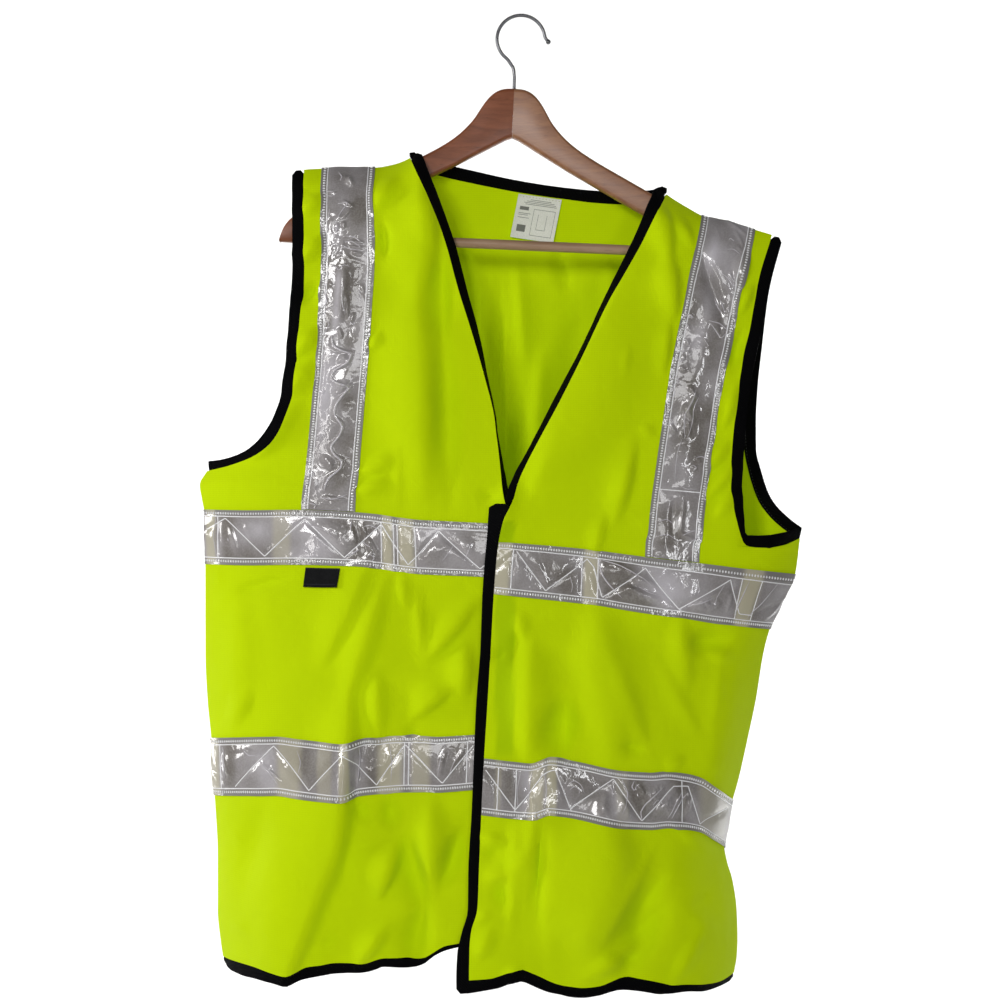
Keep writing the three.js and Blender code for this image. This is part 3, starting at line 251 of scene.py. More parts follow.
# Creases: smaller ridges and troughs than the folds, laid over them in the looks only. A step, where the
# cloth laps over itself, is steep on one side.
CREASES = {
    "left": table(FOLD, (-117, -146, -138, -194, 9, 10, 5), (-94, -162, -82, -229, 8, 14, 2.5),
        (-97, -171, -91, -274, 14, 26, 3), (-98, -256, -90, -461, 14, 30, 4),
        (-75, -226, -73, -316, 9, 12, -3.6), (-73, -293, -66, -466, 12, 13, -2.4),
        (-129, -201, -125, -239, 6, 6, -2), (-114, -406, -114, -478, 2, 3, 0.8),
        (-115, -415, -150, -436, 8, 4, 1.8), (-122, -441, -155, -455, 7, 4, 1.6),
        (-130, -305, -143, -323, 5, 3, 1.2), (-24, -456, -42, -461, 3, 4, -1.8),
        (-186, -149, -207, -169, 6, 6, 3.4), (-185, -175, -207, -196, 7, 6, 3.2),
        (-185, -215, -208, -241, 8, 6, 3.6), (-186, -260, -207, -279, 7, 8, -2),
        (-190, -302, -211, -327, 7, 8, 2.2), (-194, -332, -220, -366, 9, 9, 2),
        (-205, -369, -252, -426, 9, 14, 2.4), (-138, -516, -184, -613, 8, 18, 2.6),
        (-125, -530, -161, -646, 10, 15, 5), (-156, -634, -165, -739, 9, 22, 6),
        (-110, -528, -107, -567, 4, 6, 1.8), (-95, -544, -90, -610, 3, 9, 1.6),
        (-40, -553, -90, -612, 5, 13, 3.6), (-60, -629, -103, -662, 5, 15, 3.2),
        (-51, -590, -55, -648, 8, 12, 3), (-133, -616, -131, -685, 8, 9, 2.6),
        (-109, -667, -93, -675, 3, 5, -1.5), (-260, -539, -290, -564, 4, 5, 1.7),
        (-211, -533, -274, -548, 5, 5, -1.3), (-263, -544, -264, -682, 16, 16, 2.6),
        (-274, -636, -289, -644, 4, 5, 1.2), (-250, -636, -274, -676, 6, 10, 2),
        (-283, -522, -284, -550, 3, 5, 1.2), (-163, -690, -172, -812, 9, 44, 5.6),
        (-158, -735, -229, -930, 10, 48, 6.4), (-155, -735, -137, -755, 6, 6, -1.6),
        (-124, -730, -115, -762, 9, 9, -2.4), (-111, -770, -131, -824, 5, 24, 4),
        (-102, -759, -88, -840, 10, 14, -3.6), (-89, -826, -100, -883, 10, 14, -3.6),
        (-121, -846, -151, -883, 6, 12, 5), (-84, -731, -82, -819, 14, 14, 4),
        (-51, -755, -77, -819, 10, 12, -3), (-235, -735, -261, -831, 14, 14, -2.4),
        (-274, -777, -255, -780, 4, 3, 1.6), (-272, -853, -250, -859, 6, 6, 2.2),
        (-166, -852, -182, -868, 3, 4, -1.4)),
    "right": table(FOLD, (128, -170, -4, -490, 46, 12, 2.8), (131, -177, 137, -239, 7, 14, 4),
        (137, -229, 141, -295, 7, 14, 4), (143, -186, 159, -226, 6, 7, 3.4),
        (137, -291, 130, -347, 4, 8, 2.2), (98, -316, 94, -349, 3, 4, 1), (104, -404, 86, -485, 6, 14, 2.6),
        (110, -391, 123, -404, 4, 4, 2), (90, -270, -1, -443, 46, 10, 6), (-9, -434, -24, -503, 12, 8, 4),
        (76, -475, 67, -513, 4, 8, 1.4), (167, -228, 188, -302, 8, 8, -1.6),
        (209, -228, 203, -265, 6, 6, 2.2), (216, -260, 200, -291, 5, 6, 2.4),
        (206, -302, 195, -342, 7, 7, -2), (200, -354, 186, -396, 6, 7, 2.6),
        (193, -406, 171, -434, 6, 6, 2.8), (199, -426, 171, -461, 6, 6, 3), (200, -452, 176, -480, 6, 6, 3),
        (225, -472, 204, -509, 6, 7, -2.4), (249, -480, 221, -503, 5, 6, 2.4),
        (-4, -579, -9, -612, 4, 4, -2.2), (-2, -564, 1, -590, 5, 4, 1.6), (-29, -607, -13, -597, 4, 4, -2),
        (7, -590, 6, -700, 20, 11, 5.4), (43, -638, 35, -700, 10, 22, -3.6),
        (69, -559, 82, -709, 26, 26, 5.4), (76, -586, 120, -706, 6, 9, 1.3),
        (120, -601, 166, -684, 6, 8, 1.1), (151, -596, 197, -590, 14, 9, -3.2),
        (147, -568, 151, -638, 9, 14, 2.4), (170, -601, 199, -610, 6, 6, 1.8),
        (186, -608, 177, -671, 6, 8, 1.2), (117, -691, 88, -684, 5, 5, -1.4),
        (150, -697, 130, -709, 4, 6, 2), (201, -608, 177, -780, 22, 22, 4), (11, -735, 7, -833, 4, 15, 4.6),
        (19, -749, 11, -840, 7, 8, -3), (-7, -749, -11, -855, 8, 4, 2.2), (14, -700, 26, -885, 30, 9, 1.8),
        (148, -745, 170, -905, 34, 34, 2.2), (88, -765, 52, -908, 40, 20, 1.4),
        (-35, -801, -9, -793, 4, 8, 2.6), (-11, -795, 9, -775, 4, 8, 2.6), (-38, -764, -16, -770, 4, 5, 2),
        (-35, -782, -20, -780, 4, 4, -1.4), (-22, -804, -15, -832, 6, 6, -2.2),
        (-26, -846, -40, -875, 6, 8, 3.4), (-40, -841, -29, -833, 4, 4, 1.6), (-2, -881, -15, -894, 5, 5, 2),
        (82, -740, 55, -868, 24, 44, 8), (122, -775, 64, -872, 5, 6, 2.6), (138, -804, 106, -852, 7, 5, 2.2),
        (130, -801, 91, -897, 14, 20, -4.4), (119, -857, 55, -894, 8, 10, 5),
        (71, -863, 108, -885, 5, 5, -1.6), (169, -852, 135, -905, 9, 6, 4), (151, -837, 193, -874, 8, 8, 3),
        (141, -759, 184, -799, 9, 5, 3), (177, -826, 153, -837, 5, 5, -1.6),
        (186, -790, 193, -881, 9, 9, 2)),
    "back": table(FOLD, (-21, -226, -18, -440, 3, 4, 1.6), (-4, -230, 4, -330, 8, 6, -1.4),
        (34, -216, 46, -262, 6, 6, 1.4), (84, -226, 96, -300, 7, 9, -1.6),
        (-64, -190, -40, -330, 10, 9, 1.8), (20, -320, 12, -460, 12, 9, -1.6),
        (150, -380, 214, -420, 7, 9, -2), (-240, -440, -160, -500, 8, 10, 2),
        (-260, -600, -250, -700, 10, 12, -2.4), (-60, -560, -70, -700, 14, 10, 2.4),
        (96, -560, 84, -720, 12, 16, -2.4), (180, -600, 160, -760, 10, 12, 2.4),
        (-240, -780, -200, -880, 9, 12, -2.2), (10, -740, 30, -880, 12, 10, 2.2),
        (90, -800, 120, -890, 9, 12, -2), (-150, -720, -140, -800, 10, 8, 2))}


# ---------------------------------------------------------------- the vest's form
def shoulder_z(x):
    """Height of the shoulder fold; across the neck it is a straight line between the two neck points."""
    start, end = SHOULDER_LEFT["x"][-1], SHOULDER_RIGHT["x"][0]
    neck = np.interp(x, [start, end], [SHOULDER_LEFT["z"][-1], SHOULDER_RIGHT["z"][0]])
    outside = np.where(x <= start, value(SHOULDER_LEFT, "z", x), value(SHOULDER_RIGHT, "z", x))
    return np.where((x > start) & (x < end), neck, outside)


def ridge_y(x):
    """The cloth comes forward along the shoulders as the hanger's arms do: a hyperbola round the middle."""
    return -HANGER_SWEEP * (np.hypot(x - HANGER_CENTRE[0], 20) - 20)


ROUNDING = 42  # over which the cloth turns in from a side fold
SHOULDER_EASE = 16  # and down from the shoulder fold
TOP_EASE = 60  # drop over which a panel's sections take on the shoulder's line
SAG_START = 0.06  # share of a section over which its sag sets in
OVERLAP_LIFT = 6.5  # of the right front over the left one
HALF_GAP = SEAM_GAP / 2
STEEPEST = 0.13  # height of a crease over the sum of its two widths, before it is made deeper
CREASE_DEPTH = 4.0  # how many times deeper a crease is than its row says
CREASE_MOST = 18  # and how far out one can stand


def in_from_sides(x, z):
    """0 at a side fold and 1 on the flat of the body: it rises as an exponential over ROUNDING mm."""
    left = np.maximum(0, x - value(SIDES, "left", z))
    right = np.maximum(0, value(SIDES, "right", z) - x)
    return (1 - np.exp(-left / ROUNDING)) * (1 - np.exp(-right / ROUNDING))


def ridges(rows, x, z):
    """Sum of ridges and troughs, each a bell curve exp(-(across/width)^2) across a straight line.

    Each has its own width on either side of the line, as seen going down it, and fades and narrows over its
    two ends, so that it has the outline of a lens.
    """
    height = np.zeros(np.broadcast(x, z).shape)
    for x0, z0, x1, z1, right, left, out in zip(*rows.values()):
        dx, dz = x1 - x0, z1 - z0
        long = math.hypot(dx, dz)
        along = ((x - x0) * dx + (z - z0) * dz) / long
        across = ((x - x0) * dz - (z - z0) * dx) / long
        fade = 0.45 * long
        window = smoothstep(along, -0.1 * long, fade) * (1 - smoothstep(along, long - fade, 1.1 * long))
        width = np.where(across > 0, left, right) * (0.45 + 0.55 * window)
        steepest = STEEPEST * (left + right)
        height += min(steepest, max(-steepest, out)) * window * np.exp(-((across / width) ** 2))
    return height


def right_edge(z):
    return value(RIGHT["opening"], "x", np.clip((-180 - z) / 700, 0, 1) * RIGHT["hem"])


def overlap(x, z):
    """How far the right front stands out over the left one, from the foot of the neck opening down."""
    near = 1 - smoothstep(x, right_edge(z) + 10, right_edge(z) + 110)
    return OVERLAP_LIFT * near * smoothstep(-z, 330, 440)


def creases(facing, x, z):
    """The creases of a panel. Where the left front lies behind the right one it takes on its creases."""
    own = ridges(CREASES[facing], x, z)
    if facing != "left":
        return own
    behind = smoothstep(x, right_edge(z) - 22, right_edge(z)) * smoothstep(-z, 400, 450)
    return mix(own, ridges(CREASES["right"], x, z), behind)


def cloth_y(facing, x, z):
    """Depth of the cloth's inner face: from the shoulder fold it eases out to the body as 1 - exp(-drop)."""
    drop = np.maximum(0, shoulder_z(x) - z)
    eased = 1 - np.exp(-drop / SHOULDER_EASE)
    inside = in_from_sides(x, z)
    on_left = x < HANGER_CENTRE[0]
    side = np.where(on_left, value(DEPTHS, "side_left", z), value(DEPTHS, "side_right", z))
    calm = inside * smoothstep(drop, 20, 90)
    small = CREASE_DEPTH * inside * smoothstep(drop, 4, 30) * creases(facing, x, z)
    small = np.where(small > 0, CREASE_MOST * np.tanh(small / CREASE_MOST), small)
    if facing == "back":
        sweep = 0.5 * ridge_y(x) * np.exp(-drop / 260)
        flat = value(DEPTHS, "back", z) + sweep
        body = mix(side, flat, inside) + calm * ridges(FOLDS_BACK, x, z) + small
        return mix(ridge_y(x), body, eased) + HALF_GAP
    body = mix(side, -value(DEPTHS, "front", z), inside) - calm * ridges(FOLDS_FRONT, x, z) - small
    if facing == "right":
        body = body - overlap(x, z)
    return mix(ridge_y(x), body, eased) - HALF_GAP


def on_cloth(facing, x, z):
    """Points of the cloth and their outward normals, from the slopes of the depth in x and z."""
    h = 0.5
    y = cloth_y(facing, x, z)
    slope_x = (cloth_y(facing, x + h, z) - cloth_y(facing, x - h, z)) / (2 * h)
    slope_z = (cloth_y(facing, x, z + h) - cloth_y(facing, x, z - h)) / (2 * h)
    out = 1 if facing == "back" else -1
    normal = out * np.stack([-slope_x, np.ones_like(y), -slope_z], -1)
    normal /= np.linalg.norm(normal, axis=-1, keepdims=True)
    return np.stack([x, y, z], -1), normal


def front_section(front, across, down):
    """A section of a front in plan: across runs 0 at the armhole or side, 1 and 2 at the shoulder tape, 3 at
    the opening. It is straight, but for a sag under the armhole and the rise of its folds at the bands."""
    side_z = value(front["seam"], "z", down)
    on_armhole = down <= front["tip"]
    outer_z = np.where(on_armhole, value(front["armhole"], "z", down), side_z)
    side_x = value(SIDES, front["side"], side_z)
    outer_x = np.where(on_armhole, value(front["armhole"], "x", down), side_x)
    inner_x = value(front["opening"], "x", down)
    inner_z = value(front["opening"], "z", down)
    tape = value(front["tape"], "x", down)
    half = front["outward"] * TAPE_WIDTH / 2
    stations = [outer_x, tape + half, tape - half, inner_x]
    i = np.minimum(2, np.floor(across)).astype(int)
    start = np.choose(i, stations[:-1])
    end = np.choose(i, stations[1:])
    x = mix(start, end, across - i)
    inward = np.clip((x - outer_x) / (inner_x - outer_x), 0, 1)
    sag = (1 - np.exp(-inward / SAG_START)) * (1 - inward) ** 1.5 * value(front["sag"], "z", down)
    at_chest = smoothstep(down, front["tip"], front["chest_top"])
    at_waist = smoothstep(down, front["chest_bottom"], front["waist_top"])
    rise = mix(value(front["rise"], "chest", x), value(front["rise"], "waist", x), at_waist)
    return x, mix(outer_z, inner_z, inward) - sag + at_chest * rise


def front_plan(front, across, down):
    """The plan of a front: its sections, eased into the shoulder's fold at the top and into the hem."""
    across, down = np.broadcast_arrays(np.asarray(across, float), np.asarray(down, float))
    x, z = front_section(front, across, down)
    top_x, top_z = front_section(front, across, np.zeros_like(down))
    hem_x, hem_z = front_section(front, across, np.full_like(down, front["hem"]))
    top = (1 - smoothstep(down, 0, TOP_EASE)) * (shoulder_z(top_x) - top_z)
    foot = smoothstep(down, front["hem_start"], front["hem"])
    return x, z + top + foot * (value(front["hem_line"], "z", hem_x) - hem_z)


def back_top_z(x):
    """Height of the back's top edge: the two shoulders and the scoop of the neck between them."""
    neck = BACK["neck_line"]["x"]
    scoop = value(BACK["neck_line"], "z", x)
    return np.where((x > neck[0]) & (x < neck[-1]), scoop, shoulder_z(x))


def back_section(across, down):
    """A section of the back in plan: across runs from 0 at the left edge to 7 at the right, with whole
    numbers at the edges of the shoulder tapes and of the neck."""
    on_armhole = down <= BACK["armhole_left"]["down"][-1]
    side_left, side_right = value(BACK["side_left"], "z", down), value(BACK["side_right"], "z", down)
    left_z = np.where(on_armhole, value(BACK["armhole_left"], "z", down), side_left)
    right_z = np.where(on_armhole, value(BACK["armhole_right"], "z", down), side_right)
    left_x = np.where(on_armhole, value(BACK["armhole_left"], "x", down), value(SIDES, "left", side_left))
    right_x = np.where(on_armhole, value(BACK["armhole_right"], "x", down), value(SIDES, "right", side_right))
    tape_left, tape_right = value(BACK["tape_left"], "x", down), value(BACK["tape_right"], "x", down)
    half = TAPE_WIDTH / 2
    neck = [value(BACK["neck_left"], "x", down), value(BACK["neck_right"], "x", down)]
    stations = [
        left_x, tape_left - half, tape_left + half, *neck, tape_right - half, tape_right + half, right_x]
    i = np.minimum(6, np.floor(across)).astype(int)
    x = mix(np.choose(i, stations[:-1]), np.choose(i, stations[1:]), across - i)
    return x, mix(left_z, right_z, (x - left_x) / (right_x - left_x))


def back_plan(_back, across, down):
    """The plan of the back: its sections, eased into its top edge and its hem."""
    across, down = np.broadcast_arrays(np.asarray(across, float), np.asarray(down, float))
    x, z = back_section(across, down)
    top_x, top_z = back_section(across, np.zeros_like(down))
    hem_x, hem_z = back_section(across, np.full_like(down, BACK["hem"]))
    top = (1 - smoothstep(down, 0, BACK["neck_ease"])) * (back_top_z(top_x) - top_z)
    foot = smoothstep(down, BACK["hem_start"], BACK["hem"])
    return x, z + top + foot * (value(BACK["hem_line"], "z", hem_x) - hem_z)


def spread(stations, longest):
    """Places between the stations of a list, in even steps that are no longer than the given one."""
    parts = []
    for a, b in zip(stations[:-1], stations[1:]):
        steps = max(1, math.ceil((b - a) / longest))
        parts.append(np.linspace(a, b, steps, endpoint=False))
    return np.concatenate([*parts, [stations[-1]]])


# ---------------------------------------------------------------- meshes
def quads(grid):
    """The faces of a grid of vertex numbers, one quad between each four neighbours."""
    return np.stack([grid[:-1, :-1], grid[:-1, 1:], grid[1:, 1:], grid[1:, :-1]], -1).reshape(-1, 4)


def ring(first, last):
    """Quads between two equally long rows of vertex numbers."""
    return np.stack([first[:-1], first[1:], last[1:], last[:-1]], -1)


def shell(outer, inner):
    """Points and faces of a closed shell between two grids that have the same rows.

    The inner grid may have fewer columns: then a single face closes each end.
    """
    rows, columns = outer.shape[:2]
    under_columns = inner.shape[1]
    top = np.arange(rows * columns).reshape(rows, columns)
    under = rows * columns + np.arange(rows * under_columns).reshape(rows, under_columns)
    faces = [quads(top), quads(under[:, ::-1]), ring(top[:, 0], under[:, 0])]
    faces.append(ring(top[::-1, -1], under[::-1, -1]))
    if under_columns == columns:
        faces += [ring(top[0, ::-1], under[0, ::-1]), ring(top[-1], under[-1])]
        ends = []
    else:
        ends = [[*top[0, ::-1], *under[0]], [*top[-1], *under[-1, ::-1]]]
    points = np.concatenate([outer.reshape(-1, 3), inner.reshape(-1, 3)])
    faces = [face for block in faces for face in block.tolist()] + [list(map(int, end)) for end in ends]
    step_across = outer[:-1, 1:] - outer[:-1, :-1]
    step_down = outer[1:, :-1] - outer[:-1, :-1]
    facing = np.cross(step_across, step_down).reshape(-1, 3).sum(0)
    if facing @ (outer[:, 0] - inner[:, 0]).sum(0) < 0:
        faces = [face[::-1] for face in faces]
    return points, faces


def rounded(count, thickness, width=1.0, squareness=0.5):
    """A closed section: the superellipse with |x/width|^(2/s) + |y/thickness|^(2/s) = 1."""
    turn = np.linspace(0, 2 * np.pi, count, endpoint=False)
    x, y = np.cos(turn), np.sin(turn)
    shape = [np.sign(x) * np.abs(x) ** squareness * width, np.sign(y) * np.abs(y) ** squareness * thickness]
    return np.stack(shape, -1)


def sweep(path, across, out, section):
    """Points and faces of a closed section carried along a path: path + across * x + out * y.

    The section is one for the whole path, or one for each of its points.
    """
    section = np.broadcast_to(section, (len(path), *section.shape[-2:]))
    points = path[:, None] + across[:, None] * section[..., :1] + out[:, None] * section[..., 1:]
    count, around = points.shape[:2]
    grid = np.arange(count * around).reshape(count, around)
    closed = np.concatenate([grid, grid[:, :1]], 1)
    faces = [*quads(closed).tolist(), grid[0, ::-1].tolist(), grid[-1].tolist()]
    along = path[1] - path[0]
    turning = np.cross(across[0], out[0]) @ along
    if turning > 0:
        faces = [face[::-1] for face in faces]
    return points.reshape(-1, 3), faces


def joined(parts):
    """Several sets of points and faces as one."""
    points, faces, start = [], [], 0
    for some_points, some_faces in parts:
        points.append(some_points)
        faces += [[start + i for i in face] for face in some_faces]
        start += len(some_points)
    return np.concatenate(points), faces


def unit(vectors):
    return vectors / np.maximum(np.linalg.norm(vectors, axis=-1, keepdims=True), 1e-9)


def tangents(path):
    """Unit vectors along a path, from the points before and after each."""
    return unit(np.gradient(path, axis=0))


BEAD = rounded(5, 1, 1, 1)
BEAD_SHOULDER = (0.65, 0.65, 0.8)  # size and height of its upper ring


def beads(centres, along, out, *size):
    """Many small domed beads at once: each a flat pentagonal ring with a smaller one over it and a top."""
    length, width, height = size
    side = np.cross(along, out)
    low = np.stack([BEAD[:, 0] * length, BEAD[:, 1] * width, np.zeros(5)], -1)
    high = (low + [0, 0, height]) * BEAD_SHOULDER
    shape = np.concatenate([low, high, [[0, 0, height]]])
    points = centres[:, None] + along[:, None] * shape[:, :1] + side[:, None] * shape[:, 1:2]
    points = points + out[:, None] * shape[:, 2:]
    i = np.arange(5)
    j = (i + 1) % 5
    sides = np.stack([i, i + 5, j + 5, j], -1).tolist()
    caps = np.stack([i + 5, np.full(5, 10), j + 5], -1).tolist()
    faces = [*sides, *caps, [0, 1, 2, 3, 4]]
    whole = [[k * 11 + v for v in face] for k in range(len(centres)) for face in faces]
    return points.reshape(-1, 3), whole


def at_distances(run, places, values):
    """Values in three columns, at places on a run of distances."""
    return np.stack([np.interp(places, run, values[:, k]) for k in range(3)], -1)


def distances(path):
    """How far each point of a path is from its start, along it."""
    return np.concatenate([[0], np.cumsum(np.linalg.norm(np.diff(path, axis=0), axis=1))])


def add_piece(name, shape, material, node=None, uv=None, looks=None, smooth=45):
    """A new mesh object from points in mm and faces; it rides on the root body and may replace a CAD node."""
    points, faces = shape
    mesh = bpy.data.meshes.new(name)
    mesh.from_pydata((points * MM).tolist(), [], faces)
    mesh.shade_smooth()
    mesh.set_sharp_from_angle(angle=math.radians(smooth))
    if uv is not None:
        corners = np.empty(len(mesh.loops), np.int32)
        mesh.loops.foreach_get("vertex_index", corners)
        layer = mesh.uv_layers.new(name="UVMap")
        layer.uv.foreach_set("vector", uv[corners].astype(np.float32).ravel())
    for look, amounts in (looks or {}).items():
        layer = mesh.attributes.new(look, "FLOAT", "POINT")
        layer.data.foreach_set("value", np.asarray(amounts, np.float32).ravel())
    mesh.materials.append(material)
    piece = bpy.data.objects.new(name, mesh)
    bpy.context.scene.collection.objects.link(piece)
    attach(piece, "root")
    if node:
        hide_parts(node)
    return piece


# ---------------------------------------------------------------- cloth panels
FINE = 3.6  # mm between the points of a panel
SHOULDER_FINE = 1.8  # and below the shoulder fold, where it bends most


def panel_rows(stations):
    return np.concatenate([spread([0, 40], SHOULDER_FINE)[:-1], spread([40, *stations], FINE)])


def front_columns():
    return np.concatenate([np.linspace(0, 1, 24)[:-1], np.linspace(1, 2, 15)[:-1], np.linspace(2, 3, 38)])


def back_columns():
    counts = [22, 13, 17, 54, 17, 13, 17]
    parts = [np.linspace(i, i + 1, count, endpoint=False) for i, count in enumerate(counts)]
    return np.concatenate([*parts, [7]])


# Behind the right front's edge lies the strip that it closes on. Over it the right front is painted a darker,
# greener stripe: painted shade of the layer behind.
SHADE_STRIPE = {"left": -23, "right": -8, "top": -480.7, "foot": -688, "blur": 2.5}


def stripe_shade_share(x, z):
    """How much painted shade the stripe puts at a place: 1 over the strip, eased to 0 round its edges."""
    left, right, top, foot, blur = SHADE_STRIPE.values()
    wide = smoothstep(x, left - blur, left) * (1 - smoothstep(x, right, right + blur))
    return wide * (1 - smoothstep(z, top - 1, top)) * smoothstep(z, foot - 14, foot)


def make_panel(name, facing, plan, cut, columns, rows, material, node):
    """A panel: its plan on a fine grid, laid on the cloth's form, and the same grid CLOTH mm further out."""
    x, z = plan(cut, columns[None, :], rows[:, None])
    points, normal = on_cloth(facing, x, z)
    across, down = np.broadcast_arrays(columns[None, :] / columns[-1], 1 - rows[:, None] / rows[-1])
    uv = np.stack([across, down], -1).reshape(-1, 2)
    # The under attribute carries the stripe's painted shade to the cloth's material.
    under = stripe_shade_share(x, z) if facing == "right" else np.zeros_like(x)
    shape = shell(points + normal * CLOTH, points)
    looks = {"under": np.tile(under.ravel(), 2)}
    return add_piece(name, shape, material, node, np.tile(uv, (2, 1)), looks, smooth=60)


# ---------------------------------------------------------------- tapes
def tape_marks(
        seed, zigzag, rules, creases, bumps, tones, crumples, pleats, joints=((0, 1, 0),), worm=()):
    """What lies on one tape, its rows as tables."""
    found = {
        "seed": seed, "zigzag": zigzag, "rules": rules, "pleats": pleats,
        "joints": table("place half amount", *joints), "creases": table(FOLD, *creases),
        "bumps": table(PATCH, *bumps), "tones": table(PATCH, *tones), "crumples": table(PATCH, *crumples)}
    if worm:
        found["worm"] = table("place up", *worm)
    return found
